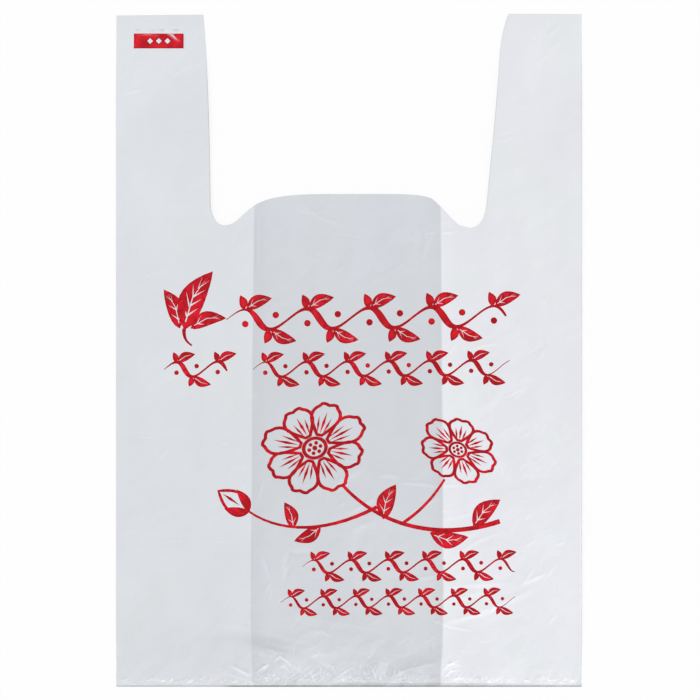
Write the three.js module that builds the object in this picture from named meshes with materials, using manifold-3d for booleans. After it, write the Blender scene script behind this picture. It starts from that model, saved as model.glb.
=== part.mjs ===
// A vest-style film carrier bag, lying flat. Millimetres, +X right, +Y towards the handles, +Z up.
// The origin is under the middle of the bag, on the surface that it lies on.

import * as THREE from "three";
import { mergeVertices } from "three/addons/utils/BufferGeometryUtils.js";
import Module from "manifold-3d";

const wasm = await Module();
wasm.setup();

// The bag as it lies
const bagWidth = 300;
const bagLength = 434;
const topCutRise = 0.9; // the top edge was cut a little out of square
const gussetFoldLeft = -62.3; // where each tucked-in side is folded back
const gussetFoldRight = 60.3;

// The film and the air between its layers
const film = 0.4; // stands in for film of about 0.013 mm
const gap = 0.45; // between two of the four layers at the sides
const middleGap = 0.9; // between front and back where there are only two
const pocketMouth = 3; // how far the tool that opens a gusset reaches past the side
const drapeWidth = 20; // over which the front sinks from the gusset fold to the middle
const sideCrown = 0.35; // how far trapped air lifts the front over each gusset
const crownWave = 0.4; // the share of that lift that comes and goes along the bag
const crownWaveLength = 170;

// The welds: the layers close up, are pressed into one line, and end in a short loose skirt
const skirtLength = 1.6;
const bottomWeldWidth = 1.2;
const topWeldWidth = 1;
const closingGap = 0.12; // between layers where a weld begins
const pressedGap = -0.12; // the pressed line is thinner than the layers were
const skirtGap = 0.04;
const closingLength = 22; // over which the layers close up
const closingShares = [0.12, 0.4, 1]; // where the closing curve has its stations
const openStations = 9; // along the rest of the bag

// The punched mouth, in the places where its line changes
const cutStartLeft = -93.9;
const cutStartRight = 102.8;
const handleFootLeft = -89.4;
const handleFootRight = 88.2;
const handleFootY = 95;
const notchLeft = new THREE.Vector2(-79.6, 80.4);
const notchRight = new THREE.Vector2(76.4, 79.2);
const flapTop = 100.6;
const flapShoulderLeft = new THREE.Vector2(-61.9, 92.3);
const flapShoulderRight = new THREE.Vector2(53.4, 97.6);
const flapFlatLeft = -18;
const flapFlatRight = 31;

// The print stands a little proud of the front and is bonded into it
const inkProud = 0.14;
const inkSunk = 0.2;

// The vines, with their leaves measured against each wave
const vineSlant = 0.32; // how far each wave leans over
const vineLeafTurn = 24;
const vineLeafBend = 0.11;
const vineBudTurn = 104;
const vineBudLength = 0.52; // of the leaf's
const vineBudWidth = 0.66;
const berryDepth = 0.42; // of the swing

// The blossoms, measured against their radius
const heartShare = 0.25;
const petalWidth = 1.6;
const veinShare = 0.72; // how far up its petal a vein reaches

// The small box on the left handle
const boxLeft = -138.7;
const boxBottom = 194.5;
const boxWidth = 32.1;
const boxHeight = 9.7;
const diamondPlaces = [-128.2, -122.6, -117];
const diamondSize = 1.9;

// How finely round forms are divided
const foldSteps = 4;
const cutSteps = 6;
const sidePoints = 4;
const drapePoints = 3;
const boldSteps = 4;
const plainSteps = 3;
const fineSteps = 2;
const roundCorners = 12;
const finish = 0.012; // steps smaller than this are smoothed away

const halfWidth = bagWidth / 2;
const halfLength = bagLength / 2;

const filmMaterial = new THREE.MeshStandardMaterial({ color: 0xdde1e6, roughness: 0.34, metalness: 0 });
filmMaterial.name = "film";
const inkMaterial = new THREE.MeshStandardMaterial({ color: 0xd6202c, roughness: 0.45, metalness: 0 });
inkMaterial.name = "ink";

// Smooth step from 0 to 1
function ease(share) {
  const s = THREE.MathUtils.clamp(share, 0, 1);
  return s * s * (3 - 2 * s);
}

function closedTo(share) {
  return closingGap + (gap - closingGap) * ease(share);
}

// The air gap between the side layers at each station along the bag
function stationsOf() {
  const bottom = -halfLength;
  const weldStart = bottom + skirtLength;
  const weldEnd = weldStart + bottomWeldWidth;
  const top = halfLength;
  const topWeldStart = top - topWeldWidth;
  const first = weldEnd + closingLength;
  const last = topWeldStart - closingLength;
  const pressed = [
    { y: bottom, gap: skirtGap },
    { y: weldStart, gap: skirtGap },
    { y: weldStart + bottomWeldWidth / 4, gap: pressedGap },
    { y: weldEnd - bottomWeldWidth / 4, gap: pressedGap },
  ];
  const open = [{ y: weldEnd, gap: closingGap }];
  for (const share of closingShares) open.push({ y: weldEnd + share * closingLength, gap: closedTo(share) });
  for (let i = 1; i < openStations; i++) {
    open.push({ y: THREE.MathUtils.lerp(first, last, i / openStations), gap });
  }
  for (const share of closingShares.toReversed()) {
    open.push({ y: topWeldStart - share * closingLength, gap: closedTo(share) });
  }
  open.push({ y: topWeldStart, gap: closingGap });
  return { all: [...pressed, ...open, { y: top, gap: skirtGap }], open };
}

// Half a turn of film round a fold, from angle start, as points [x, z]
function foldArc(x, z, radius, start, turn) {
  const points = [];
  for (let i = 0; i <= foldSteps; i++) {
    const angle = start + (turn * i) / foldSteps;
    points.push([x + radius * Math.cos(angle), z + radius * Math.sin(angle)]);
  }
  return points;
}

// The places across the bag where the front sheet's height is set, from right to left
function frontPlaces() {
  const places = [];
  const edge = halfWidth - film - gap;
  for (let i = 1; i < sidePoints; i++) {
    places.push(THREE.MathUtils.lerp(edge, gussetFoldRight, i / sidePoints));
  }
  for (let i = 0; i < drapePoints; i++) places.push(gussetFoldRight - (drapeWidth * i) / drapePoints);
  const right = gussetFoldRight - drapeWidth;
  const left = gussetFoldLeft + drapeWidth;
  places.push(right, left);
  for (let i = drapePoints - 1; i >= 0; i--) places.push(gussetFoldLeft + (drapeWidth * i) / drapePoints);
  for (let i = sidePoints - 1; i > 0; i--) {
    places.push(THREE.MathUtils.lerp(-edge, gussetFoldLeft, i / sidePoints));
  }
  return places;
}

// The height of the front sheet's outer face at a place, where the side layers are airGap apart
function frontHeight(x, y, airGap) {
  const sideHeight = 4 * film + 3 * airGap;
  const middleHeight = 2 * film + middleGap * Math.max(airGap / gap, closingGap / gap);
  const fold = x > 0 ? gussetFoldRight : gussetFoldLeft;
  const inward = (Math.abs(fold) - Math.abs(x)) / drapeWidth;
  if (inward > 0) return THREE.MathUtils.lerp(sideHeight, middleHeight, ease(inward));
  const across = (Math.abs(x) - Math.abs(fold)) / (halfWidth - Math.abs(fold));
  const wave = 1 - crownWave * (0.5 + 0.5 * Math.cos((2 * Math.PI * y) / crownWaveLength + Math.sign(x)));
  const open = Math.max(0, (airGap - closingGap) / (gap - closingGap));
  return sideHeight + sideCrown * open * wave * Math.sin(Math.PI * across);
}

// The outside of the whole stack, seen along the bag: two rounded folds at each side
function envelopeProfile({ y, gap: airGap }) {
  const radius = film + airGap / 2;
  const lower = radius;
  const upper = 3 * film + 2.5 * airGap;
  const x = halfWidth - radius;
  return [
    ...foldArc(x, lower, radius, -Math.PI / 2, Math.PI),
    ...foldArc(x, upper, radius, -Math.PI / 2, Math.PI),
    ...frontPlaces().map((place) => [place, frontHeight(place, y, airGap)]),
    ...foldArc(-x, upper, radius, Math.PI / 2, Math.PI),
    ...foldArc(-x, lower, radius, Math.PI / 2, Math.PI),
  ];
}

// The inside of the bag: between front and back, and round the end of each gusset
function interiorProfile({ y, gap: airGap }) {
  const end = airGap / 2;
  const lower = film + airGap / 2;
  const upper = 3 * film + 2.5 * airGap;
  const gusset = film + airGap / 2;
  const middle = 2 * film + 1.5 * airGap;
  const x = halfWidth - film - airGap / 2;
  return [
    ...foldArc(x, lower, end, -Math.PI / 2, Math.PI),
    ...foldArc(gussetFoldRight + gusset, middle, gusset, -Math.PI / 2, -Math.PI),
    ...foldArc(x, upper, end, -Math.PI / 2, Math.PI),
    ...frontPlaces().map((place) => [place, frontHeight(place, y, airGap) - film]),
    ...foldArc(-x, upper, end, Math.PI / 2, Math.PI),
    ...foldArc(gussetFoldLeft - gusset, middle, gusset, Math.PI / 2, -Math.PI),
    ...foldArc(-x, lower, end, Math.PI / 2, Math.PI),
  ];
}

// The air inside one gusset, open along the bag's side; side is 1 at the right and -1 at the left
function pocketProfile({ gap: airGap }, side) {
  const middle = 2 * film + 1.5 * airGap;
  const fold = side > 0 ? gussetFoldRight : gussetFoldLeft;
  const x = fold + side * (film + airGap / 2);
  const mouth = side * (halfWidth + pocketMouth);
  const inner = foldArc(x, middle, airGap / 2, (side * Math.PI) / 2, Math.PI);
  return [...inner, [mouth, middle - (side * airGap) / 2], [mouth, middle + (side * airGap) / 2]];
}

// The thin layer along the front that the print fills
function inkProfile({ y, gap: airGap }) {
  const edge = halfWidth - film - airGap / 2;
  const places = [edge, ...frontPlaces(), -edge];
  const upper = places.map((place) => [place, frontHeight(place, y, airGap) + inkProud]);
  const lower = places.map((place) => [place, frontHeight(place, y, airGap) - inkSunk]);
  return [...upper, ...lower.toReversed()];
}

// A closed skin through one profile at each station, with flat ends
function loft(stations, profileAt) {
  const rings = stations.map(profileAt);
  const count = rings[0].length;
  const positions = [];
  rings.forEach((ring, i) => {
    const rise = ease(stations[i].y / halfLength) * topCutRise;
    for (const [x, z] of ring) positions.push(x, stations[i].y + rise * (x / bagWidth - 0.5), z);
  });
  const faces = [];
  for (let i = 0; i + 1 < rings.length; i++) {
    for (let j = 0; j < count; j++) {
      const a = i * count + j;
      const b = i * count + ((j + 1) % count);
      faces.push(a, a + count, b, b, a + count, b + count);
    }
  }
  const last = (rings.length - 1) * count;
  const outlineOf = (ring) => ring.map(([x, z]) => new THREE.Vector2(x, z));
  for (const [a, b, c] of THREE.ShapeUtils.triangulateShape(outlineOf(rings[0]), [])) faces.push(a, b, c);
  for (const [a, b, c] of THREE.ShapeUtils.triangulateShape(outlineOf(rings.at(-1)), [])) {
    faces.push(last + a, last + c, last + b);
  }
  const geometry = new THREE.BufferGeometry();
  geometry.setAttribute("position", new THREE.Float32BufferAttribute(positions, 3));
  geometry.setIndex(faces);
  return geometry;
}

// The piece that the punch takes out: between the handles, down both notches and over the flap
function mouthOutline() {
  const above = halfLength + 5;
  const outline = new THREE.Shape();
  outline.moveTo(cutStartLeft - 0.2, above);
  outline.lineTo(cutStartLeft, halfLength);
  outline.bezierCurveTo(-91.4, 185, -89.9, 150, handleFootLeft, handleFootY);
  outline.bezierCurveTo(-89.2, 86, -85.2, notchLeft.y, notchLeft.x, notchLeft.y);
  outline.bezierCurveTo(-73, notchLeft.y, -69.5, 87, flapShoulderLeft.x, flapShoulderLeft.y);
  outline.bezierCurveTo(-54, 98.2, -42, flapTop - 0.4, flapFlatLeft, flapTop);
  outline.lineTo(flapFlatRight, flapTop);
  outline.bezierCurveTo(40, flapTop - 0.2, 49, flapTop - 0.8, flapShoulderRight.x, flapShoulderRight.y);
  outline.bezierCurveTo(60, 92, 65, 85.5, 69, 82);
  outline.bezierCurveTo(71, 80, 73, notchRight.y, notchRight.x, notchRight.y);
  outline.bezierCurveTo(83.5, notchRight.y, 87, 84, handleFootRight, handleFootY);
  outline.bezierCurveTo(90.5, 128, 94, 155, 96.9, 190);
  outline.bezierCurveTo(97.8, 201, 100, 210, cutStartRight, halfLength);
  outline.lineTo(cutStartRight + 1.5, above);
  outline.closePath();
  return outline;
}

// Goes through every layer and past both faces
function prism(outline, curveSegments) {
  const clearance = 2;
  const depth = 4 * film + 3 * gap + sideCrown + 2 * clearance;
  const geometry = new THREE.ExtrudeGeometry(outline, { depth, bevelEnabled: false, curveSegments });
  return solid(geometry.translate(0, 0, -clearance));
}

// A prism with other prisms taken out of it
function opened(outline, holes, curveSegments) {
  const cuts = wasm.Manifold.union(holes.map((hole) => prism(hole, curveSegments)));
  return prism(outline, curveSegments).subtract(cuts);
}

function solid(geometry) {
  const bare = geometry.clone();
  bare.deleteAttribute("normal");
  bare.deleteAttribute("uv");
  const merged = mergeVertices(bare);
  const mesh = new wasm.Mesh({
    numProp: 3,
    vertProperties: new Float32Array(merged.attributes.position.array),
    triVerts: new Uint32Array(merged.index.array),
  });
  return new wasm.Manifold(mesh);
}

// A place on the bag, turned by degrees, that gives [x, y] for a point along and across it
function placeAt(x, y, degrees, squash = 1, tilt = 0) {
  const turn = THREE.MathUtils.degToRad(degrees);
  const lean = THREE.MathUtils.degToRad(tilt);
  return (u, v) => {
    const along = u * Math.cos(turn) - v * Math.sin(turn);
    const across = (u * Math.sin(turn) + v * Math.cos(turn)) * squash;
    return [
      x + along * Math.cos(lean) - across * Math.sin(lean),
      y + along * Math.sin(lean) + across * Math.cos(lean),
    ];
  };
}

// A pointed leaf from its stem to its tip, which sags to one side by bend as a share of its length
function leafShape(place, length, width, bend) {
  const sag = bend * length;
  const near = 0.18 * length;
  const far = 0.66 * length;
  const full = 0.78 * width;
  const slim = 0.5 * width;
  const shape = new THREE.Shape();
  shape.moveTo(...place(0, 0));
  shape.bezierCurveTo(...place(near, sag + full), ...place(far, sag + slim), ...place(length, 0));
  shape.bezierCurveTo(...place(far, sag - slim), ...place(near, sag - full), ...place(0, 0));
  return shape;
}

function leaf(x, y, degrees, length, width, bend, steps = plainSteps) {
  return prism(leafShape(placeAt(x, y, degrees), length, width, bend), steps);
}

// A leaf with the bare line of its rib
function ribbedLeaf(x, y, degrees, length, width, bend) {
  const place = placeAt(x, y, degrees);
  const sag = bend * length;
  const thick = 0.03 * width;
  const rib = new THREE.Shape();
  rib.moveTo(...place(0.14 * length, 0.4 * sag));
  rib.lineTo(...place(0.5 * length, 0.8 * sag - thick));
  rib.lineTo(...place(0.86 * length, 0.4 * sag));
  rib.lineTo(...place(0.5 * length, 0.8 * sag + thick));
  return opened(leafShape(place, length, width, bend), [rib], boldSteps);
}

// A stroke along a line of points whose width changes
function stroke(line, widths) {
  const left = [];
  const right = [];
  line.forEach((point, i) => {
    const before = line[Math.max(0, i - 1)];
    const after = line[Math.min(line.length - 1, i + 1)];
    const side = new THREE.Vector2(before.y - after.y, after.x - before.x).setLength(widths[i] / 2);
    left.push(point.clone().add(side));
    right.push(point.clone().sub(side));
  });
  return prism(new THREE.Shape([...left, ...right.toReversed()]), 1);
}

function stem(points, wide, narrow) {
  const curve = new THREE.CubicBezierCurve(...points.map(([x, y]) => new THREE.Vector2(x, y)));
  const line = curve.getPoints(2 * boldSteps);
  return stroke(line, line.map((_, i) => THREE.MathUtils.lerp(wide, narrow, i / (line.length - 1))));
}

function roundShape(place, radius, corners = roundCorners) {
  const points = [];
  for (let i = 0; i < corners; i++) {
    const angle = (2 * Math.PI * i) / corners;
    points.push(new THREE.Vector2(...place(radius * Math.cos(angle), radius * Math.sin(angle))));
  }
  return new THREE.Shape(points);
}

// A waving stem with a leaf, a bud where it has them, and a berry at each turn
function vine(size) {
  const { from, to, middle, rise, swing, wave, thin, thick, leafLength, leafWidth, leafSteps } = size;
  const count = Math.round((size.waveSteps * (to - from)) / wave);
  const line = [];
  const widths = [];
  for (let i = 0; i <= count; i++) {
    const share = i / count;
    const phase = (2 * Math.PI * share * (to - from)) / wave;
    const offset = swing * Math.sin(phase);
    const x = THREE.MathUtils.lerp(from, to, share) + vineSlant * offset;
    line.push(new THREE.Vector2(x, middle + rise * share + offset));
    widths.push(THREE.MathUtils.lerp(thin, thick, 0.5 - 0.5 * Math.cos(phase)));
  }
  const shapes = [stroke(line, widths)];
  let up = 1;
  for (let x = from + wave / 4; x < to - wave / 8; x += wave / 2) {
    const height = middle + (rise * (x - from)) / (to - from);
    const crestX = x + vineSlant * swing * up;
    const crestY = height + swing * up;
    shapes.push(leaf(crestX, crestY, vineLeafTurn * up, leafLength, leafWidth, vineLeafBend * up, leafSteps));
    if (size.budded) {
      const budLength = vineBudLength * leafLength;
      shapes.push(leaf(crestX, crestY, vineBudTurn * up, budLength, vineBudWidth * leafWidth, 0, leafSteps));
    }
    const berryPlace = placeAt(x + wave / 16, height - berryDepth * swing * up, 0);
    shapes.push(prism(roundShape(berryPlace, thick / 2, 2 * leafSteps), 1));
    up = -up;
  }
  return shapes;
}

// A petal from its narrow foot at start to its round tip at end
function petalShape(place, start, end, width) {
  const length = end - start;
  const side = width / 2;
  const shoulder = start + 0.72 * length;
  const low = start + 0.4 * length;
  const high = start + 0.9 * length;
  const shape = new THREE.Shape();
  shape.moveTo(...place(start, 0));
  shape.bezierCurveTo(...place(start, 0.6 * side), ...place(low, side), ...place(shoulder, side));
  shape.bezierCurveTo(...place(high, 0.92 * side), ...place(end, 0.4 * side), ...place(end, 0));
  shape.bezierCurveTo(...place(end, -0.4 * side), ...place(high, -0.92 * side), ...place(shoulder, -side));
  shape.bezierCurveTo(...place(low, -side), ...place(start, -0.6 * side), ...place(start, 0));
  return shape;
}

// An open blossom drawn in outline: petals with a vein each, round a ring with a dot
function blossom({ x, y, radius, petals, turn, line, squash, tilt }) {
  const heart = heartShare * radius;
  const width = petalWidth * radius * Math.sin(Math.PI / petals);
  const veinEnd = THREE.MathUtils.lerp(heart, radius, veinShare);
  const shapes = [];
  for (let k = 0; k < petals; k++) {
    const place = placeAt(x, y, turn + (360 * k) / petals, squash, tilt);
    const inner = petalShape(place, heart + 1.4 * line, radius - line, width - 2 * line);
    const vein = new THREE.Shape();
    vein.moveTo(...place(heart, -line / 4));
    vein.lineTo(...place(veinEnd, 0));
    vein.lineTo(...place(heart, line / 4));
    shapes.push(opened(petalShape(place, heart, radius, width), [inner], plainSteps), prism(vein, 1));
  }
  const centre = placeAt(x, y, 0, squash, tilt);
  shapes.push(opened(roundShape(centre, heart), [roundShape(centre, 0.7 * heart)], 1));
  shapes.push(prism(roundShape(centre, 0.36 * heart), 1));
  return shapes;
}

function bud(x, y, degrees, length, width, line) {
  const place = placeAt(x, y, degrees);
  const inner = placeAt(...place(1.3 * line, 0), degrees);
  const hollow = leafShape(inner, length - 2.8 * line, width - 2.4 * line, 0);
  const sepal = 26;
  return [
    opened(leafShape(place, length, width, 0), [hollow], boldSteps),
    leaf(x, y, degrees + sepal, 0.66 * length, 0.42 * width, 0.08),
    leaf(x, y, degrees - sepal, 0.66 * length, 0.42 * width, -0.08),
  ];
}

// A filled box with bare diamonds in it
function sizeBox() {
  const top = boxBottom + boxHeight;
  const right = boxLeft + boxWidth;
  const middle = boxBottom + boxHeight / 2;
  const corners = [[boxLeft, boxBottom], [right, boxBottom], [right, top], [boxLeft, top]];
  const field = new THREE.Shape(corners.map(([x, y]) => new THREE.Vector2(x, y)));
  const diamonds = diamondPlaces.map((x) => roundShape(placeAt(x, middle, 0), diamondSize, 4));
  return opened(field, diamonds, 1);
}

function boldRow() {
  return [
    ribbedLeaf(-106, 13, 64, 42, 16.5, 0.1),
    ribbedLeaf(-109, 14, 112, 27, 11.5, -0.1),
    leaf(-102, 14, 16, 24, 9.5, 0.14),
    stem([[-106, 14], [-106.5, 10], [-106, 6], [-101, 3]], 2.6, 1),
    ...vine({
      from: -79, to: 101, middle: 19.5, rise: 2.5, swing: 6.6, wave: 40,
      thin: 1.4, thick: 4.6, leafLength: 18, leafWidth: 8.2, budded: true, waveSteps: 10, leafSteps: plainSteps,
    }),
  ];
}

function fineRows() {
  const upper = {
    middle: -12.5, swing: 4.8, wave: 26.5, thin: 1.1, thick: 3.2,
    leafLength: 12.5, leafWidth: 5.8, budded: true, waveSteps: 7, leafSteps: fineSteps,
  };
  const lower = { rise: 1.2, thin: 1, thick: 2.8, budded: false, waveSteps: 6, leafSteps: fineSteps };
  return [
    ...vine({ ...upper, from: -119, to: -78, rise: 0.6 }),
    ...vine({ ...upper, from: -62, to: 102, rise: 1.5 }),
    ...vine({
      ...lower, from: -30, to: 108, middle: -139.5, swing: 4.2, wave: 24, leafLength: 11, leafWidth: 5,
    }),
    ...vine({
      ...lower, from: -44, to: 106, middle: -162.5, swing: 3.8, wave: 21, leafLength: 9.6, leafWidth: 4.5,
    }),
  ];
}

function spray() {
  return [
    stem([[97, -110], [62, -122], [22, -116], [-4, -87]], 3.2, 2),
    stem([[34, -112], [42, -106], [52, -99], [61.5, -83]], 2.2, 1.6),
    stem([[18, -101], [-14, -118], [-44, -118], [-64, -104]], 2.4, 1.4),
    ...blossom({ x: -22, y: -63, radius: 35, petals: 8, turn: 10, line: 2.3, squash: 0.86, tilt: 20 }),
    ...blossom({ x: 70, y: -64, radius: 26, petals: 7, turn: 0, line: 2, squash: 0.8, tilt: -25 }),
    ...bud(-64, -104, 146, 25, 15, 1.9),
    ribbedLeaf(52, -117.5, -6, 25, 11, -0.14),
    ribbedLeaf(22, -109, 70, 24, 11.5, 0.1),
    leaf(-18, -113, -150, 20, 9, 0.1),
    leaf(-36, -115, 108, 18, 8.6, -0.1),
    ribbedLeaf(80, -114, 46, 25, 11.5, 0.1),
  ];
}

// All the printed fields, cut out of the thin layer along the front
function print(stations) {
  const fields = wasm.Manifold.union([sizeBox(), ...boldRow(), ...spray(), ...fineRows()]);
  return fields.intersect(solid(loft(stations.open, inkProfile)));
}

// The tube of film, folded flat and welded at both ends, with its mouth and handles punched out
function tube(stations) {
  const stack = solid(loft(stations.all, envelopeProfile));
  const inside = solid(loft(stations.open, interiorProfile));
  const gussetRight = solid(loft(stations.open, (station) => pocketProfile(station, 1)));
  const gussetLeft = solid(loft(stations.open, (station) => pocketProfile(station, -1)));
  const folded = stack.subtract(inside).subtract(gussetRight).subtract(gussetLeft);
  return folded.subtract(prism(mouthOutline(), cutSteps));
}

// One closed skin, with the faces that came from the print in a group of their own
function carrierBag() {
  const stations = stationsOf();
  const bare = tube(stations).asOriginal();
  const ink = print(stations).asOriginal();
  const skin = bare.add(ink).simplify(finish).getMesh();
  const geometry = new THREE.BufferGeometry();
  geometry.setAttribute("position", new THREE.BufferAttribute(skin.vertProperties, skin.numProp));
  geometry.setIndex(new THREE.BufferAttribute(skin.triVerts, 1));
  skin.runOriginalID.forEach((source, run) => {
    const start = skin.runIndex[run];
    geometry.addGroup(start, skin.runIndex[run + 1] - start, source === ink.originalID() ? 1 : 0);
  });
  geometry.computeVertexNormals();
  const mesh = new THREE.Mesh(geometry, [filmMaterial, inkMaterial]);
  mesh.name = "carrier_bag";
  return mesh;
}

const model = new THREE.Group();
model.add(carrierBag());

export default model;
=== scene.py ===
import math
import random
import bmesh
import bpy
import numpy as np
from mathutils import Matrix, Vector, geometry, kdtree


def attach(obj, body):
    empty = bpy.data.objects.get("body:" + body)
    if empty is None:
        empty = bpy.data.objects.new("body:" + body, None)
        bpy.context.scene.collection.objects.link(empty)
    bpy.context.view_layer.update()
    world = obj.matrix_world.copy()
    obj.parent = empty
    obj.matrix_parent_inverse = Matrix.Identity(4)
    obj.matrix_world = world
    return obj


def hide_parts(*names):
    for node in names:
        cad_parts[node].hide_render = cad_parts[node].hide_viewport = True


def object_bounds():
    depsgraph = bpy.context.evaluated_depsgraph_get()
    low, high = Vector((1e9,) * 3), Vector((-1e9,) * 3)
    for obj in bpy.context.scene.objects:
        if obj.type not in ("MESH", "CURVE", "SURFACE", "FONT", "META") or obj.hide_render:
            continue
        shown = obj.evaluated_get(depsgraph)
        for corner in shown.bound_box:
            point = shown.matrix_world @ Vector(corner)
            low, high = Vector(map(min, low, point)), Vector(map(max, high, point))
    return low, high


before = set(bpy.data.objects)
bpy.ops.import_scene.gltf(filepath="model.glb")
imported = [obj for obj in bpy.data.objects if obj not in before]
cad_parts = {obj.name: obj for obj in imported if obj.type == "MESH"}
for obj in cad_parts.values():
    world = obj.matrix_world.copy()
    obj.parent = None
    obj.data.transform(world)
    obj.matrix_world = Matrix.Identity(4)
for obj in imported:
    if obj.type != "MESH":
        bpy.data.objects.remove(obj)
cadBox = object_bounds()
mm = 0.001
print("frame loaded")

# The flat bag. Lengths are in millimetres, in the frame's own axes, until a mesh is made.
halfWidth = cadBox[1].x / mm
halfLength = cadBox[1].y / mm
touch = 0.01  # two points this close are one

film = {
    "thickness": 0.08,
    "sideHeight": 2.95,  # four layers and the air between them
    "middleHeight": 1.7,  # two layers
    "weldHeight": 0.4,
    "upperGusset": 0.58,  # where the two gusset layers lie, as a share of the height
    "lowerGusset": 0.42,
    "skirt": 1.6,
    "topWeld": 1.0,
    "closingBelow": 45.0,  # over which the layers close up towards the bottom weld
    "closingAbove": 60.0,
    "drape": 6.5,  # how fast the front sinks beside a gusset fold
    "crown": 0.35,
    "crownWave": 0.4,
    "crownWaveLength": 170.0,
    "sideReach": 12.0,  # over which a layer draws in to its rolled edge at the side
    "foldReach": 10.0,  # and to a gusset fold
    # the gusset folds lie further apart towards the bottom, and draw in at its weld
    "foldsAt": (-220.0, -205.0, -192.0, -172.0, -148.0, -74.0, 0.0, 62.0, 115.0),
    "foldLeft": (-62.0, -62.2, -62.6, -63.05, -63.0, -62.3, -61.95, -61.1, -60.5),
    "foldRight": (58.8, 59.2, 60.0, 60.45, 60.5, 60.15, 59.55, 59.2, 58.6),
    "foldsEnd": 110.0,  # above it they have run out into the mouth
    "foldSteps": 4,
    "edgeStep": 3.0,
}


def ease(share):
    s = np.clip(share, 0, 1)
    return s * s * (3 - 2 * s)


def foldAt(y, side):
    return np.interp(y, film["foldsAt"], film["foldRight"] if side > 0 else film["foldLeft"])


def openShare(y):
    fromBottom = (y + halfLength - film["skirt"]) / film["closingBelow"]
    fromTop = (halfLength - film["topWeld"] - y) / film["closingAbove"]
    return ease(np.minimum(fromBottom, fromTop))


# The height of the front sheet before any wrinkle
def stackHeight(x, y):
    side = np.sign(x)
    fold = np.abs(np.where(x > 0, foldAt(y, 1), foldAt(y, -1)))
    inward = np.maximum(fold - np.abs(x), 0)
    across = np.clip((np.abs(x) - fold) / (halfWidth - fold), 0, 1)
    wave = 1 - film["crownWave"] * (0.5 + 0.5 * np.cos(2 * np.pi * y / film["crownWaveLength"] + side))
    crown = film["crown"] * wave * np.sin(np.pi * across)
    drop = (film["sideHeight"] - film["middleHeight"]) * (1 - np.exp(-inward / film["drape"]))
    openHeight = film["sideHeight"] - drop + crown
    return film["weldHeight"] + (openHeight - film["weldHeight"]) * openShare(y)


# Curves and outlines
def bezier(points, count):
    t = np.linspace(0, 1, count + 1)[:, None]
    a, b, c, d = (np.array(point, float) for point in points)
    return (1 - t) ** 3 * a + 3 * t * (1 - t) ** 2 * b + 3 * t * t * (1 - t) * c + t ** 3 * d


def evenly(start, end, step):
    start, end = np.array(start, float), np.array(end, float)
    count = max(1, round(float(np.linalg.norm(end - start)) / step))
    return start + (end - start) * np.linspace(0, 1, count + 1)[:, None]


def inside(points, outline):
    x, y = points[:, 0], points[:, 1]
    within = np.zeros(len(points), bool)
    for (x0, y0), (x1, y1) in zip(outline, np.roll(outline, -1, axis=0)):
        if y0 == y1:
            continue
        crosses = (y0 > y) != (y1 > y)
        within ^= crosses & (x < x0 + (y - y0) * (x1 - x0) / (y1 - y0))
    return within


# The line of the punch from the left handle to the right one: the two controls and the end of
# each curve, which starts where the one before it ends
mouth = {
    "startLeft": -93.9,
    "startRight": 102.8,
    "curves": (
        ((-91.4, 185), (-89.9, 150), (-89.4, 95.0)),  # down the left handle
        ((-89.2, 86), (-85.2, 80.4), (-79.6, 80.4)),  # round the left notch
        ((-73, 80.4), (-69.5, 87), (-61.9, 92.3)),
        ((-54, 98.2), (-42, 100.2), (-18.0, 100.6)),  # along the flap
        ((-2, 100.6), (15, 100.6), (31.0, 100.6)),
        ((40, 100.4), (49, 99.8), (53.4, 97.6)),
        ((60, 92), (65, 85.5), (69, 82)),  # into the right notch, with a nick in it
        ((71, 80.2), (72.6, 79.6), (74.8, 79.5)),
        ((75.6, 79.4), (76.8, 78.8), (77.6, 78.7)),
        ((84.6, 79.2), (87.9, 84.5), (89.0, 96.0)),  # and up the right handle
        ((91.6, 126), (94.9, 153), (97.2, 190)),
    ),
    "lastControls": ((98, 201), (100, 210)),
    "step": 1.5,
}

# The top was cut a little out of square: how far each place across lies below its highest point
topCut = {"at": (-150.0, -94.0, 103.0, 150.0), "below": (1.1, 0.6, 0.0, 0.25)}


def topEdge(x):
    return halfLength - float(np.interp(x, topCut["at"], topCut["below"]))


def mouthLine():
    start = (mouth["startLeft"], topEdge(mouth["startLeft"]))
    right = (mouth["startRight"], topEdge(mouth["startRight"]))
    parts = []
    for first, second, end in mouth["curves"] + ((*mouth["lastControls"], right),):
        count = max(3, round(math.dist(start, end) / mouth["step"]))
        parts.append(bezier((start, first, second, end), count)[:-1])
        start = end
    return np.vstack(parts + [np.array([right])])


def bagOutline():
    step = film["edgeStep"]
    low, wide = -halfLength, halfWidth
    cut = mouthLine()
    return np.vstack([
        evenly((-wide, low), (wide, low), step)[:-1],
        evenly((wide, low), (wide, topEdge(wide)), step)[:-1],
        evenly((wide, topEdge(wide)), cut[-1], step)[:-1],
        cut[::-1],
        evenly(cut[0], (-wide, topEdge(-wide)), step)[1:],
        evenly((-wide, topEdge(-wide)), (-wide, low), step)[1:-1],
    ])


# The bottom weld: heights above the edge at places across, where the front lies over the skirt
skirtEdge = {
    "at": (-150.0, -82.0, -75.0, -12.0, 0.5, 71.6, 97.4, 123.0, 150.0),
    "height": (1.2, 1.2, 1.3, 1.6, 2.2, 2.3, 1.9, 1.6, 1.3),
    # the skirt below the front is darkened as painted shade
    "tone": (-0.03, -0.03, -0.02, -0.10, -0.17, -0.20, -0.16, -0.13, -0.12),
    "edgeTone": (-0.34, -0.34, -0.86, -0.86, -0.78, -0.78, -0.74, -0.68, -0.60),
    "edge": 0.55,  # the very edge shows as a thin dark line of painted shade
    "light": 0.035,  # a painted highlight: the bright line over the skirt
    "band": 0.3,
    "step": 1.5,
}
corner = {"centre": (142.6, -210.2), "radius": 6.2, "band": 0.35, "points": 12, "clear": 0.2}
rimWidth = 0.55


def skirtHeight(x):
    return np.interp(x, skirtEdge["at"], skirtEdge["height"])


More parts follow.
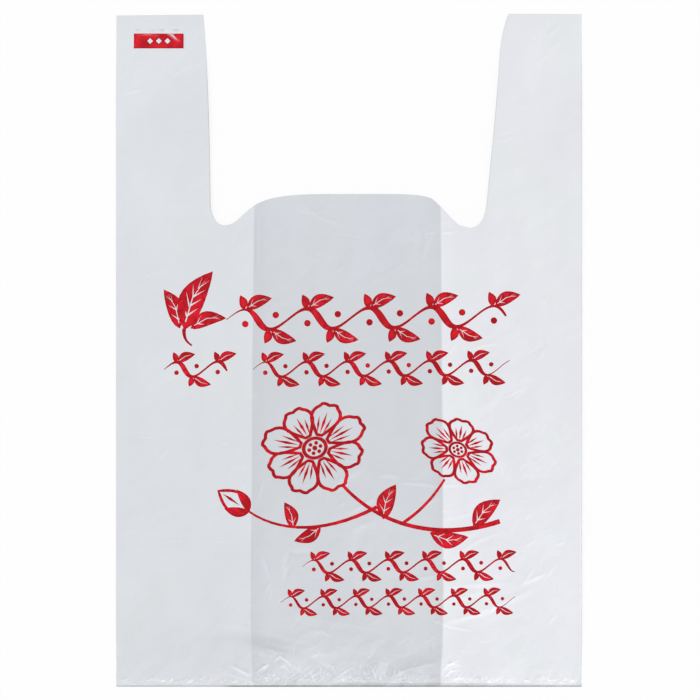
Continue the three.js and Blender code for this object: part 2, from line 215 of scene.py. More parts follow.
# Lines along which the front's tone changes in a step: each has a twin close beside it
def stepLines():
    xs = np.arange(-halfWidth + 1, halfWidth - 0.9, skirtEdge["step"])
    low = -halfLength + skirtHeight(xs)
    lines = [np.column_stack([xs, low]), np.column_stack([xs, low + skirtEdge["band"]])]
    for rise in (skirtEdge["edge"], skirtEdge["edge"] + skirtEdge["band"]):
        lines.append(np.column_stack([xs, np.full(len(xs), -halfLength + rise)]))
    angles = np.linspace(0, -math.pi / 2, corner["points"])
    for radius in (corner["radius"], corner["radius"] - corner["band"]):
        x = corner["centre"][0] + radius * np.cos(angles)
        y = corner["centre"][1] + radius * np.sin(angles)
        above = y > -halfLength + skirtHeight(x) + skirtEdge["band"] + corner["clear"]
        lines.append(np.column_stack([x, y])[above])
    return lines


def foldLine(side):
    ys = np.arange(-halfLength - 1, halfLength, film["edgeStep"])
    ys = ys[ys < film["foldsEnd"]]
    return np.column_stack([foldAt(ys, side), ys])


# The print: leafy vines, a spray with two blossoms, and a small box with three bare diamonds
printed = {
    "box": (-138.7, 194.5, -106.6, 204.2),
    "diamond": 1.9,
    "diamondsAt": (-128.2, -122.6, -117.0),
    "slant": 0.32,  # how far the vines' waves lean to the right
    "height": 0.03,
    "thickness": 0.05,
}
leafForm = {
    "steps": 9,
    "fullness": 0.85,
    "ribFrom": 0.12,  # the bare rib and side veins, as shares of the leaf's length
    "ribTo": 0.88,
    "ribWidth": 0.30,
    "ribGrowth": 0.012,
    "veinsFrom": 0.20,
    "veinsOver": 0.46,
    "veinLength": 0.20,
    "veinReach": 0.74,  # of the half width
    "veinEdge": 0.1,
}


# A field of ink with its bare holes
def field(outer, *holes):
    return {"outer": outer, "holes": list(holes)}


def place(points, x, y, angle):
    c, s = math.cos(math.radians(angle)), math.sin(math.radians(angle))
    return [(x + c * u - s * v, y + s * u + c * v) for u, v in points]


def ribbon(line, widths):
    left, right = [], []
    for i, (x, y) in enumerate(line):
        x0, y0 = line[max(0, i - 1)]
        x1, y1 = line[min(len(line) - 1, i + 1)]
        length = math.hypot(x1 - x0, y1 - y0) or 1
        nx, ny = -(y1 - y0) / length, (x1 - x0) / length
        left.append((x + nx * widths[i] / 2, y + ny * widths[i] / 2))
        right.append((x - nx * widths[i] / 2, y - ny * widths[i] / 2))
    return left + right[::-1]


# A leaf with a bare rib and bare side veins; with veins at -1 it has no rib either
def leaf(x, y, angle, length, width, veins=0, bend=0.08):
    form = leafForm

    def half(t):
        return width / 2 * math.sin(math.pi * t ** form["fullness"]) ** form["fullness"] if 0 < t < 1 else 0

    def bent(*line):
        return [(u * length, v + bend * length * math.sin(math.pi * u)) for u, v in line]

    shares = [i / form["steps"] for i in range(form["steps"] + 1)]
    outer = bent(*((t, half(t)) for t in shares), *((t, -half(t)) for t in shares[-2:0:-1]))
    holes = []
    if veins >= 0:
        rib = (form["ribWidth"] + form["ribGrowth"] * length) / 2
        thin, first, last = 0.84 * rib, form["ribFrom"], form["ribTo"]
        holes.append(bent((first, -rib), (0.5, -thin), (last, 0), (0.5, thin), (first, rib)))
    for k in range(max(0, veins)):
        t = form["veinsFrom"] + form["veinsOver"] * k / max(1, veins - 1)
        reach = form["veinReach"] * half(min(0.97, t + form["veinLength"]))
        for side in (1, -1):
            edge = side * form["veinEdge"]
            holes.append(bent((t - 0.012, edge), (t + form["veinLength"], side * reach), (t + 0.035, edge)))
    return [field(place(outer, x, y, angle), *(place(hole, x, y, angle) for hole in holes))]


def ring(x, y, radius, count):
    turn = 2 * math.pi / count
    return [(x + radius * math.cos(turn * i), y + radius * math.sin(turn * i)) for i in range(count)]


def dot(x, y, radius, count=14):
    return field(ring(x, y, radius, count))


# A waving stem that swells on its turns, with two leaves and a berry at each of them
def vine(x0, x1, middle, swing, wave, thin, thick, leafLength, leafWidth, rise, veins=0):
    slant = printed["slant"]
    line, widths = [], []
    count = max(8, int(24 * (x1 - x0) / wave))
    for i in range(count + 1):
        t = i / count
        x = x0 + (x1 - x0) * t
        phase = 2 * math.pi * (x - x0) / wave
        offset = swing * math.sin(phase)
        taper = 0.3 + 0.7 * min(1, 8 * t, 8 * (1 - t))
        line.append((x + slant * offset, middle + offset + rise * t))
        widths.append((thin + (thick - thin) * (0.5 - 0.5 * math.cos(phase)) ** 1.3) * taper)
    motifs = [field(ribbon(line, widths))]
    x, up = x0 + wave / 4, 1
    while x < x1 - wave * 0.15:
        level = (x - x0) / (x1 - x0)
        px, py = x + slant * swing * up, middle + swing * up + rise * level
        motifs += leaf(px + 0.02 * wave, py, 24 * up, leafLength, leafWidth, veins, 0.11 * up)
        small = (leafLength * 0.52, leafWidth * 0.66, -1, -0.10 * up)
        motifs += leaf(px - 0.1 * leafWidth, py, 104 * up, *small)
        berryX = px - slant * up * swing * 0.9 + 0.05 * wave
        motifs.append(dot(berryX, middle + rise * level - up * swing * 0.42, thick * 0.46))
        x, up = x + wave / 2, -up
    return motifs


# Half a petal's edge and its mirror, along an axis from the heart to the tip
def petal(radius, start, width, notch, steps=9, tipSteps=5):
    length = radius - start
    upper = []
    for i in range(steps):
        t = i / steps
        upper.append((start + length * t, width / 2 * math.sin(math.pi * (0.08 + 0.92 * t) ** 1.5) ** 0.62))
    lastX, lastY = upper[-1]
    for i in range(1, tipSteps):
        t = i / tipSteps
        a = math.pi / 2 * (1 - t)
        upper.append((lastX + (radius - lastX) * math.cos(a) - notch * t ** 3, lastY * math.sin(a)))
    return upper + [(radius - notch, 0)] + [(u, -v) for u, v in reversed(upper)]


def shrink(points, inset):
    out = []
    for i, (x, y) in enumerate(points):
        x0, y0 = points[i - 1]
        x1, y1 = points[(i + 1) % len(points)]
        length = math.hypot(x1 - x0, y1 - y0) or 1
        out.append((x + (y1 - y0) / length * inset, y - (x1 - x0) / length * inset))
    return out


blossomForm = {
    "heart": 0.25,  # shares of the radius
    "petalWidth": 1.6,
    "notch": 0.05,
    "uneven": 0.05,
    "streaks": ((0, 0.70, 0.42), (0.17, 0.56, 0.33), (-0.17, 0.56, 0.33)),  # side, length and thickness
    "streakStart": 0.08,
    "heartRings": ((0.98, 24), (0.70, 24), (0.44, 6)),  # of the heart, with their points
    "stamen": 0.15,
    "middleDot": 0.19,
}


# Petals in outline with three streaks each, round a ring with six small dots and a larger one
def blossom(x, y, radius, petals, turn, stroke, flat, tilt):
    form = blossomForm
    motifs = []
    heart = radius * form["heart"]
    width = form["petalWidth"] * math.sin(math.pi / petals) * radius

    def fit(points, angle=0.0):
        return place([(u, v * flat) for u, v in place(points, 0, 0, angle)], x, y, tilt)

    for k in range(petals):
        angle = turn + 360 * k / petals
        reach = radius * (1 + form["uneven"] * math.sin(2.3 * k + 1))
        edge = petal(reach, heart, width, radius * form["notch"])
        motifs.append(field(fit(edge, angle), fit(shrink(edge, stroke), angle)))
        for off, share, thick in form["streaks"]:
            u0 = heart + (reach - heart) * form["streakStart"]
            u1 = heart + (reach - heart) * share
            middle, wide = (u0 + u1) / 2, thick * stroke
            line = [(u0, off * width * 0.5), (middle, off * width * 0.85 + wide), (u1, off * width * 1.15)]
            motifs.append(field(fit(line + [(middle, off * width * 0.85 - wide)], angle)))
    outer, inner, stamens = (fit(ring(0, 0, heart * share, count)) for share, count in form["heartRings"])
    motifs.append(field(outer, inner))
    motifs += [dot(cx, cy, heart * form["stamen"], 8) for cx, cy in stamens]
    motifs.append(dot(x, y, heart * form["middleDot"], 10))
    return motifs


def bud(x, y, angle, length, width, stroke):
    outer = leaf(0, 0, 0, length, width, bend=0)[0]["outer"]
    core = [(0.30 * length, 0), (0.6 * length, 0.06 * width)]
    core += [(0.84 * length, 0), (0.6 * length, -0.06 * width)]
    motifs = [field(place(outer, x, y, angle), place(shrink(outer, stroke), x, y, angle))]
    for side in (1, -1):
        motifs += leaf(x, y, angle + 26 * side, length * 0.66, width * 0.42, bend=0.08 * side)
    return motifs + [field(place(core, x, y, angle))]


def stalk(points, wide, narrow, count):
    line = [tuple(point) for point in bezier(points, count)]
    return [field(ribbon(line, [wide + (narrow - wide) * i / count for i in range(count + 1)]))]


def smallBox():
    x0, y0, x1, y1 = printed["box"]
    diamonds = [ring(x, (y0 + y1) / 2, printed["diamond"], 4) for x in printed["diamondsAt"]]
    return [field([(x0, y0), (x1, y0), (x1, y1), (x0, y1)], *diamonds)]


# Every shape in its place, from the top of the front to the bottom
printRows = (
    (leaf, -106, 13, 64, 42, 16.5, 4, 0.10),  # a leafy sprig, and the bold row after it
    (leaf, -109, 14, 112, 27, 11.5, 3, -0.10),
    (leaf, -102, 14, 16, 24, 9.5, 2, 0.14),
    (stalk, [(-106, 14), (-106.5, 10), (-106, 6), (-101, 3)], 2.6, 1.0, 6),
    (vine, -79, 101, 19.5, 6.6, 40, 1.4, 4.6, 18, 8.2, 2.5, 2),
    (vine, -119, -78, -12.5, 4.8, 26.5, 1.1, 3.2, 12.5, 5.8, 0.6),  # the finer row
    (vine, -62, 102, -12.5, 4.8, 26.5, 1.1, 3.2, 12.5, 5.8, 1.5),
    (stalk, [(97, -110), (62, -122), (22, -116), (-4, -87)], 3.2, 2.0, 22),  # the spray
    (stalk, [(34, -112), (42, -106), (52, -99), (61.5, -83)], 2.2, 1.6, 12),
    (stalk, [(18, -101), (-14, -118), (-44, -118), (-64, -104)], 2.4, 1.4, 14),
    (blossom, -22, -63, 35, 8, 10, 2.3, 0.86, 20),
    (blossom, 70, -64, 26, 7, 0, 2.0, 0.8, -25),
    (bud, -64, -104, 146, 25, 15, 1.9),
    (leaf, 52, -117.5, -6, 25, 11, 3, -0.14),
    (leaf, 22, -109, 70, 24, 11.5, 3, 0.1),
    (leaf, -18, -113, -150, 20, 9, 2, 0.1),
    (leaf, -36, -115, 108, 18, 8.6, 2, -0.1),
    (leaf, 80, -114, 46, 25, 11.5, 3, 0.1),
    (vine, -30, 108, -139.5, 4.2, 24, 1.0, 2.8, 11, 5.0, 1.2),  # two small rows
    (vine, -44, 106, -162.5, 3.8, 21, 0.9, 2.5, 9.6, 4.5, 1.2),
)


def printMotifs():
    motifs = smallBox()
    for draw, *values in printRows:
        motifs += draw(*values)
    return motifs


# Creases in the front. Each is a line through points, with a width, a height and how much it
# whitens the film, partly the paler film of a stretched crease and partly a painted glint.
def crease(width, height, white, *path):
    return {"path": np.array(path, float).reshape(-1, 2), "width": width, "height": height, "white": white}


# Width, height, whitening with its painted glint, and then x and y of each point
handCreases = (
    # left handle
    (1.8, 0.14, 0.05, -145, 164, -139, 165.6, -133, 167),
    (1.7, 0.14, 0.05, -113, 176.5, -109.5, 178.3, -106.5, 181),
    (2, 0.14, 0.03, -126, 209.5, -112, 207.8, -104, 209.5),
    (0.9, 0, -0.22, -138, 206.6, -136, 206.4, -134.4, 206.8),
    (0.9, 0, -0.16, -129.5, 206.4, -127, 206.2, -124.5, 206.5),
    (1, 0, -0.26, -122.6, 206.8, -120.8, 206.2, -119, 206.7),
    (1.1, 0, -0.3, -113.5, 207, -111.5, 206.2, -109.5, 206.9),
    (1.1, 0.1, 0.14, -119, 206.6, -116.6, 205.4, -114.4, 205.2),
    (4, 0.2, 0, -132, 152, -128, 143, -126, 130),
    # right handle
    (1.6, 0.16, 0.035, 127, 193, 133, 195.5, 138, 199),
    (1.8, 0.16, 0.03, 128, 202, 133, 206, 137, 211),
    (1.8, 0.16, -0.03, 130, 196, 134, 202, 141, 205),
    (1.6, 0.16, 0.03, 122, 180, 125, 187, 131, 191),
    (1.5, 0.16, 0.03, 95, 137, 101, 139.5, 108, 141),
    (1.4, 0.14, 0.03, 93, 133.5, 100, 134, 107, 136.5),
    (4, 0.18, 0, 118, 176, 121, 168, 122, 160),
    # beside the right notch
    (1.6, 0.2, 0.1, 59.5, 74.9, 68.5, 75.6),
    # right side
    (1.8, 0.22, 0.07, 78.7, 0, 87, 2.4, 96, 3.9),
    (1.6, 0.22, 0.1, 101.9, -30.3, 106, -28.5, 110.9, -25.8),
    (1.6, 0.2, 0.06, 104.5, -32.5, 109, -29.5, 114, -24.5),
    (1.8, 0.18, 0.06, 121.9, -6.5, 126.4, 0),
    (1.8, 0.2, 0.07, 58.7, -88.4, 66, -87.6, 73, -87.7),
    (2.6, 0.26, 0.07, 72.3, -131, 83, -123.5, 97.4, -118),
    (2.6, 0.34, 0.13, 111.6, -151, 119, -148, 127.1, -144.5),
    (3.6, 0.34, 0.08, 61.9, -178, 84.5, -170.3, 104, -162, 120, -154.8),
    (3, 0.26, 0.06, 62, -153.4, 84, -152, 105, -150.6),
    (2.8, 0.24, 0.06, 59, -127.5, 71.5, -122.6, 83.2, -117.8),
    (3.4, 0.26, 0.045, 60, -163.5, 74, -160.5, 90, -155),
    (3, 0.22, 0.04, 60, -110, 74, -107.5, 88, -102),
    (4.5, 0.22, 0, 92, -176, 112, -160, 138, -146),
    (5, 0.2, 0, 100, -96, 118, -84, 140, -76),
    (5, 0.18, 0, 96, -60, 112, -52, 134, -38),
    (4, 0.18, 0, 110, -112, 126, -104, 146, -100),
    # left side
    (5.5, 0.16, 0, -149, -56, -120, -55, -84, -57, -64, -56),
    (5, 0.16, 0, -148, -120.7, -118, -119.5, -88, -121.5),
    (6, 0.18, 0, -140, 40, -128, 18, -124, -8),
    (1.3, 0.1, 0.028, -147, -56, -133, -56.2, -119, -56.6),
    (1.4, 0.1, 0.026, -138, -123.6, -104, -123.4, -70, -124),
    (2.4, 0.2, 0.04, -84.8, -109.4, -75.4, -98.5, -66.4, -86.2),
    (1.9, 0.32, 0.2, -75.9, -204, -70, -207, -64, -210),
    (1.5, 0.24, 0.09, -79, -208.5, -72, -211, -66, -212.5),
    (1.8, 0.16, -0.03, -121.9, -209, -116, -211, -111.6, -212.6),
    (6, 0.3, 0, -110, -188, -84, -183, -63, -186),
    # middle
    (1.3, 0.12, 0.035, -57.8, 94, -57.5, 72, -57.9, 50),
    (0.9, 0, -0.05, -60.3, 90, -60.6, 66, -61, 38),
    (1.8, 0.14, 0.03, -36, 92, -28, 88, -16, 88.5),
    (2, 0.14, 0.025, -12, 75, 2, 73.5, 10, 71),
    (2, 0.12, 0.025, 24, 96, 32, 91, 42, 88),
    (1.5, 0.16, 0.05, 49, 74.5, 54, 75.2, 59, 75.6),
    (2.2, 0.16, 0.03, 47, 56, 51, 68, 58, 80),
    (2.4, 0.1, -0.03, 46, 84, 48, 70, 45, 58),
    (2.2, 0.24, 0.08, -41.3, -145, -37.4, -135.5),
    (2, 0.2, 0.05, -51, -161, -49.7, -153),
    (1.6, 0.34, 0.24, -59.4, -208.3, -56.4, -205.2, -52.2, -203.2),
    (1.5, 0.32, 0.2, -49.6, -202.4, -44.5, -197.4, -39.4, -201.2, -35, -206.5),
    (1.3, 0.28, 0.18, -46.4, -206.6, -42.5, -203.4, -38, -207.8),
    (1.4, 0.28, 0.16, -33.5, -203.8, -29.8, -208.4),
    (1.5, 0.26, 0.12, -55, -212.2, -50, -209.6),
    (1.5, 0.24, 0.08, -49, -201.2, -44, -198),
    (1.5, 0.3, 0.12, -25.8, -209.6, -22.6, -205.1),
    (1.4, 0.26, 0.12, -17.4, -212.9, -15.5, -210.3),
    (1.7, 0.34, 0.12, 25.2, -212.3, 36.1, -207.1, 47, -204, 58.7, -201.9),
    (3.2, 0.2, -0.07, 33.5, -208.2, 45, -203.6, 58.5, -197.5),
    (2, 0.26, 0.08, 53.5, -174.2, 66, -178.8, 81, -181.5),
    (4.5, 0.3, 0, -60, -194, -38, -198, -12, -207),
    (5, -0.3, 0, -61, -184, -40, -190, -20, -193),
    (5, 0.22, 0, -50, -181, -24, -178, 6, -184, 40, -188),
    (4.5, 0.2, 0, -30, -196, 0, -199, 22, -197),
    (6, 0.14, 0, -52, 60, -48, 30, -50, 5),
    (5, 0.14, 0, 20, 84, 34, 70, 52, 66),
    (3, 0.12, 0.04, -30, 92, -18, 84, -4, 80),
    (0.9, 0.12, 0.12, -12, -213.3, 6, -213, 25, -213.2),
    (2.4, 0.22, 0.05, -62.6, -194.2, -48, -198.4, -31.6, -201.3),
    (2.6, 0.16, -0.06, -62, -190, -52, -191.5, -40, -194.5),
    (4, 0.16, 0.02, -96, -176, -62, -181, -28, -190, 2, -203),
    (1.6, 0.2, 0.07, -24, -185, -18.5, -181.2, -12, -184.6),
    (1.6, 0.2, 0.06, -25, -199, -19, -195.2, -14, -198.2),
    (1.2, 0.22, 0.12, 54.2, -193.5, 54.8, -188.5),
    (1.5, 0.32, 0.22, 60.5, -207, 64, -203.5, 70.5, -200.2),
    (1.4, 0.28, 0.15, 61.5, -203.4, 67.5, -202.4, 73.4, -204.4),
    (1.4, 0.28, 0.2, 61, -211.5, 66, -207.2, 73, -206),
    (1.2, 0.2, 0.1, 61.5, -212.6, 68, -211.8, 80, -211.9),
    (2.2, 0.2, 0.06, 60, -176.5, 74, -172.5, 88, -170.5),
    (4.5, 0.26, 0.074, -13.3, -92.6, -2.6, -84.3, 8.2, -78.3),
    (2, 0.19, 0.068, -9, -93, -4.5, -89.4, 0, -86.2),
    (2.8, 0.29, 0.115, 0, -106.2, 7.1, -102, 17.2, -96.2),
    (2.8, 0.24, 0.081, 18.7, -81.7, 25.8, -81.4, 32.9, -82.7),
    (2.5, 0.24, 0.088, 33.3, -86.2, 46.4, -86.9, 60, -88.8),
    (2.5, 0.26, 0.088, 38.7, -106.9, 48.4, -100.4, 58, -96.2),
    (4.2, 0.24, 0.074, 1.9, -118.5, 8.4, -114.6, 17.1, -112),
    (3.4, 0.24, 0.081, -24, -128.8, -32.9, -130.1, -39.3, -128.4),
    (3.1, 0.26, 0.088, -39.3, -128.4, -41.2, -136.5, -42, -149.9),
    (2.2, 0.22, 0.061, -56.3, -133.8, -54.1, -139.1, -51.8, -144.5),
    (2.1, 0.22, 0.074, -53.5, -157.1, -50.3, -150),
    (2.2, 0.19, 0.061, -31.6, -141.7, -23.8, -135.2, -15.5, -128.8),
    (2.2, 0.19, 0.054, -59, -98.9, -56.7, -90.7, -54.5, -83.6),
    (2.8, 0.24, 0.074, 43.8, -148.1, 50.9, -147.1, 58.3, -146.2),
    (1.4, 0.1, -0.045, -40.2, -175, -12.2, -179.7, 18.9, -183.9),
    (3, 0.14, 0.025, -31.6, -172.6, -5.8, -177.1, 20, -181),
    (1.7, 0.3, 0.2, -56.3, -207.2, -54.1, -204.2, -50.9, -202.7),
    (1.5, 0.26, 0.11, -39.3, -200.3, -35.4, -203.5, -30.9, -208.7),
    (1.5, 0.26, 0.14, -29, -205.8, -24.5, -203.5),
    (1.5, 0.26, 0.12, -14.8, -202.3, -11, -204.2, -8.4, -208.1),
    (1.4, 0.2, 0.1, -7.1, -211.3, 0.7, -210),
    (1.4, 0.2, 0.12, 1.9, -212.2, 9.7, -210.6),
    (1.5, 0.24, 0.11, 14.8, -206.8, 18.7, -202.3),
)
puckers = {
    "count": 250,
    "seed": 11,
    "shortest": 1.5,
    "longest": 8.0,
    "lean": (0.45, 0.8),  # its middle and its spread
    "tallest": 0.26,
    "white": 0.26,
    "middle": (8.0, 58.0),  # the weld is most gathered here, over this half width
    "crowded": (-57, -50, -41, -28, -6, 8, 22, 33, 62, 69),
    "crowdWidth": 4.0,
}
ripples = {
    "count": 130,
    "seed": 5,
    "angle": (36, 14),
    "length": (4, 15),
    "width": (1.0, 2.2),
    "height": (0.06, 0.18),
    "white": 0.075,
}
weldMarks = {
    "count": 210,
    "seed": 23,
    "above": (0.3, 3.4),
    "length": (0.9, 3.4),
    "slope": (0.15, 0.35),
    "width": 0.9,
    "height": (0.1, 0.24),
    "white": 0.26,
}


# Short gathers that rise out of the bottom weld
def pucker(form, chance, k):
    x = -halfWidth + 3 + (2 * halfWidth - 6) * (k + chance.random()) / form["count"]
    if k % 3 == 0:
        x = chance.choice(form["crowded"]) + chance.gauss(0, form["crowdWidth"])
    centre, wide = form["middle"]
    middle = math.exp(-((x - centre) / wide) ** 2)
    length = form["shortest"] + form["longest"] * chance.random() ** 2.4 * (0.25 + middle)
    lean = chance.gauss(*form["lean"])
    low = -halfLength + float(skirtHeight(x)) + chance.uniform(0.5, 2.5 + 6 * middle * chance.random())
    endX = min(max(x + lean * length, -halfWidth + 2), halfWidth - 2)
    height = form["tallest"] * chance.uniform(0.4, 1.0)
    white = form["white"] * chance.random() ** 1.5 * (0.45 + 0.55 * middle)
    return crease(0.8 + 0.06 * length, height, white, x, low, endX, low + length)


# Fine ones over the lower middle, the right side and the rest of the front
def ripple(form, chance, k):
    if k % 4 == 0:
        x, y = chance.uniform(-58, 56), chance.uniform(-205, -150)
    elif k % 4 < 3:
        x, y = chance.uniform(62, 136), chance.gauss(-95, 62)
    else:
        x, y = chance.uniform(-140, 56), chance.uniform(-150, 70)
    angle = math.radians(chance.gauss(*form["angle"]))
    length = chance.uniform(*form["length"])
    end = (x + length * math.cos(angle), y + length * math.sin(angle))
    if max(abs(y), abs(end[1])) >= halfLength - 4:
        return None
    white = form["white"] * chance.random() ** 1.6
    return crease(chance.uniform(*form["width"]), chance.uniform(*form["height"]), white, x, y, *end)


# Tiny bright marks that lie nearly along the weld, small creases with painted glints
def weldMark(form, chance, k):
    x = chance.uniform(-halfWidth + 3, halfWidth - 6)
    low = -halfLength + float(skirtHeight(x)) + chance.uniform(*form["above"])
    length = chance.uniform(*form["length"])
    endY = low + max(length * chance.gauss(*form["slope"]), -0.25)
    white = form["white"] * chance.uniform(0.3, 1.0)
    return crease(form["width"], chance.uniform(*form["height"]), white, x, low, x + length, endY)


def allCreases():
    made = [crease(*values) for values in handCreases]
    for draw, form in ((pucker, puckers), (ripple, ripples), (weldMark, weldMarks)):
        chance = random.Random(form["seed"])
        made += filter(None, [draw(form, chance, k) for k in range(form["count"])])
    return made


# Where the small box is worn through by a fold
boxWear = [
    crease(1.5, 0, 1.1, -118, 205.6, -114, 203, -110.5, 200),
    crease(0.9, 0, -0.8, -112, 203.6, -109, 201.2),
    crease(0.8, 0, 0.35, -134, 203.4, -126, 203.7),
]
creaseForm = {
    "reach": 2.0,  # this and most others are shares of the crease's width
    "steep": 0.75,  # it rises over this on one side and sinks over the other
    "slack": 1.6,
    "crest": 0.4,  # the whitened line with its painted glint, and the painted shade at the foot of the steep side
    "shadeWidth": 0.3,
    "shade": 0.55,  # of the whitening
    "pointsAt": (0, 0.32, -0.5, 0.75, -1.2),
    "step": 0.6,
    "leastStep": 1.1,  # millimetres
}


# What the creases add at each point: a lift, and a whitening with a painted glint along each crest
# and painted shade beside it
def creaseField(points, creases):
    form = creaseForm
    lift = np.zeros(len(points))
    white = np.zeros(len(points))
    for one in creases:
        path, width = one["path"], one["width"]
        reach = form["reach"] * width
        low, high = path.min(axis=0) - reach, path.max(axis=0) + reach
        near = np.nonzero(np.all((points > low) & (points < high), axis=1))[0]
        if not len(near):
            continue
        lengths = np.linalg.norm(np.diff(path, axis=0), axis=1)
        starts = np.concatenate([[0], np.cumsum(lengths)])
        best = np.full(len(near), np.inf)
        share = np.zeros(len(near))
        turn = np.zeros(len(near))
        for i, length in enumerate(lengths):
            ray = (path[i + 1] - path[i]) / length
            offset = points[near] - path[i]
            t = np.clip(offset @ ray, 0, length)
            gap = offset - t[:, None] * ray
            distance = np.linalg.norm(gap, axis=1)
            closer = distance < best
            best[closer] = distance[closer]
            share[closer] = (starts[i] + t[closer]) / starts[-1]
            turn[closer] = (ray[0] * gap[closer, 1] - ray[1] * gap[closer, 0])
        fade = np.sin(np.pi * np.clip(share, 0.02, 0.98)) ** 0.6
        spread = np.where(turn > 0, form["steep"], form["slack"]) * width
        lift[near] += one["height"] * fade * np.clip(1 - best / spread, 0, 1) ** 1.7
        # painted shade at the foot of the steep side, and a painted glint along the crest
        foot = np.exp(-((best / width - form["steep"]) / form["shadeWidth"]) ** 2)
        shaded = form["shade"] * max(one["white"], 0) * np.where(turn > 0, foot, 0)
        crest = np.exp(-(best / (form["crest"] * width)) ** 2)
        white[near] += fade * (one["white"] * crest - shaded)
    return lift, white


# Points along a crease and beside it, which give the triangles its shape
def creaseSpots(creases):
    spots = []
    for one in creases:
        path, width = one["path"], one["width"]
        step = max(creaseForm["leastStep"], creaseForm["step"] * width)
        parts = [evenly(a, b, step)[:-1] for a, b in zip(path, path[1:])]
        line = np.vstack(parts + [path[-1:]])
        ray = np.gradient(line, axis=0)
        ray /= np.linalg.norm(ray, axis=1)[:, None]
        normal = np.column_stack([-ray[:, 1], ray[:, 0]])
        spots += [line + normal * offset * width for offset in creaseForm["pointsAt"]]
    return np.vstack(spots)


looseWaves = {"count": 14, "seed": 3, "length": (38, 120), "height": 0.0011}  # height to length


# Slow waves of film that lies loosely
def slowWaves(x, y):
    chance = random.Random(looseWaves["seed"])
    total = np.zeros(len(x))
    for _ in range(looseWaves["count"]):
        length = chance.uniform(*looseWaves["length"])
        angle = chance.uniform(0, math.pi)
        phase = chance.uniform(0, 2 * math.pi)
        travel = (x * math.cos(angle) + y * math.sin(angle)) / length
        total += looseWaves["height"] * length * np.sin(2 * np.pi * travel + phase)
    return total


# Points for the triangulation. Each sheet has a grid's step, its clearance from lines and a seed.
sheets = {
    "front": (3.0, 0.9, 1),
    "back": (5.5, 1.6, 2),
    "gusset": (7.0, 1.8, 4),
    "jitter": 0.12,  # of a step
    "margin": 0.3,
    "creaseStep": 0.7,
    "creaseClear": 0.4,
    "creaseMargin": 0.5,
}


def withinEdges(points, margin):
    keep = (np.abs(points[:, 0]) < halfWidth - margin) & (np.abs(points[:, 1]) < halfLength - margin)
    return points[keep]


def hexGrid(step, seed):
    chance = np.random.default_rng(seed)
    parts = []
    for k, y in enumerate(np.arange(-halfLength, halfLength, step * math.sqrt(3) / 2)):
        xs = np.arange(-halfWidth + (k % 2) * step / 2, halfWidth, step)
        parts.append(np.column_stack([xs, np.full(len(xs), y)]))
    points = np.vstack(parts)
    jitter = sheets["jitter"] * step
    return withinEdges(points + chance.uniform(-jitter, jitter, points.shape), sheets["margin"] * step)


# The distance from each point to the nearest of the others
def nearest(points, others):
    tree = kdtree.KDTree(len(others))
    for i, (x, y) in enumerate(others):
        tree.insert((x, y, 0), i)
    tree.balance()
    return np.array([tree.find((x, y, 0))[2] for x, y in points])


def clearOf(points, others, distance):
    return points[nearest(points, others) > distance]


def gridFor(sheet, others):
    step, clearance, seed = sheets[sheet]
    return clearOf(hexGrid(step, seed), others, clearance)


def thinned(points, distance):
    cells = np.round(points / distance).astype(int)
    _, first = np.unique(cells, axis=0, return_index=True)
    return points[np.sort(first)]


# A flat sheet inside the outline, cut into triangles along every given line
def flatSheet(outline, lines, loops, spots):
    points, edges = [], []
    for line, closed in [(outline, True)] + [(one, False) for one in lines] + [(one, True) for one in loops]:
        start, count = len(points), len(line)
        points += [Vector(point) for point in line]
        edges += [(start + i, start + i + 1) for i in range(count - 1)]
        if closed:
            edges.append((start + count - 1, start))
    points += [Vector(point) for point in spots]
    found = geometry.delaunay_2d_cdt(points, edges, [], 0, 1e-4, False)
    flat = np.array([(v.x, v.y) for v in found[0]])
    faces = np.array([face for face in found[2] if len(face) == 3])
    faces = faces[inside(flat[faces].mean(axis=1), outline)]
    return flat, faces


def onlyUsed(flat, faces):
    used, renumbered = np.unique(faces, return_inverse=True)
    return flat[used], renumbered.reshape(faces.shape)


def inInk(points, motifs):
    ink = np.zeros(len(points), bool)
    for motif in motifs:
        outer = np.array(motif["outer"])
        near = np.nonzero(np.all((points > outer.min(axis=0)) & (points < outer.max(axis=0)), axis=1))[0]
        if not len(near):
            continue
        hit = inside(points[near], outer)
        for hole in motif["holes"]:
            hit &= ~inside(points[near], np.array(hole))
        ink[near[hit]] = True
    return ink


# Where a flat point of a layer comes to lie. share is the layer's height in the stack.
def layIn(flat, share, lift, side=0):
    x, y = flat[:, 0], flat[:, 1]
    height = stackHeight(x, y)
    roll = (1 - film["upperGusset"]) / 2 * height
    reach = film["sideReach"]
    laid = x - np.sign(x) * roll * ease((np.abs(x) - halfWidth + reach) / reach)
    if side:
        turn = (film["upperGusset"] - film["lowerGusset"]) / 2 * height
        laid += side * turn * ease(1 - (np.abs(x) - np.abs(foldAt(y, side))) / film["foldReach"])
    return np.column_stack([laid, y, share * height + lift])


# A layer's points on one line, from the bottom to the top
def byHeight(flat, onLine):
    found = np.nonzero(onLine)[0]
    return found[np.argsort(flat[found, 1])]


def atSide(flat, side):
    return byHeight(flat, side * flat[:, 0] > halfWidth - touch)


class Skin:
    def __init__(self):
        self.points, self.faces, self.count = [], [], 0

    def add(self, points, faces):
        start = self.count
        self.points.append(points)
        self.faces += [tuple(int(i) + start for i in face) for face in faces]
        self.count += len(points)
        return start

    # a half turn of film from one edge of a layer to the edge of the next
    def roll(self, upper, lower, bulge):
        steps = film["foldSteps"]
        everything = np.vstack(self.points)
        a, b = everything[upper], everything[lower]
        rows = [list(upper)]
        for k in range(1, steps):
            angle = math.pi * k / steps
            row = (a + b) / 2 + (a - b) / 2 * math.cos(angle)
            row[:, 0] += bulge * math.sin(angle)
            start = self.add(row, [])
            rows.append(list(range(start, start + len(row))))
        rows.append(list(lower))
        for one, other in zip(rows, rows[1:]):
            for i in range(len(one) - 1):
                self.faces.append((int(one[i]), int(one[i + 1]), int(other[i + 1]), int(other[i])))


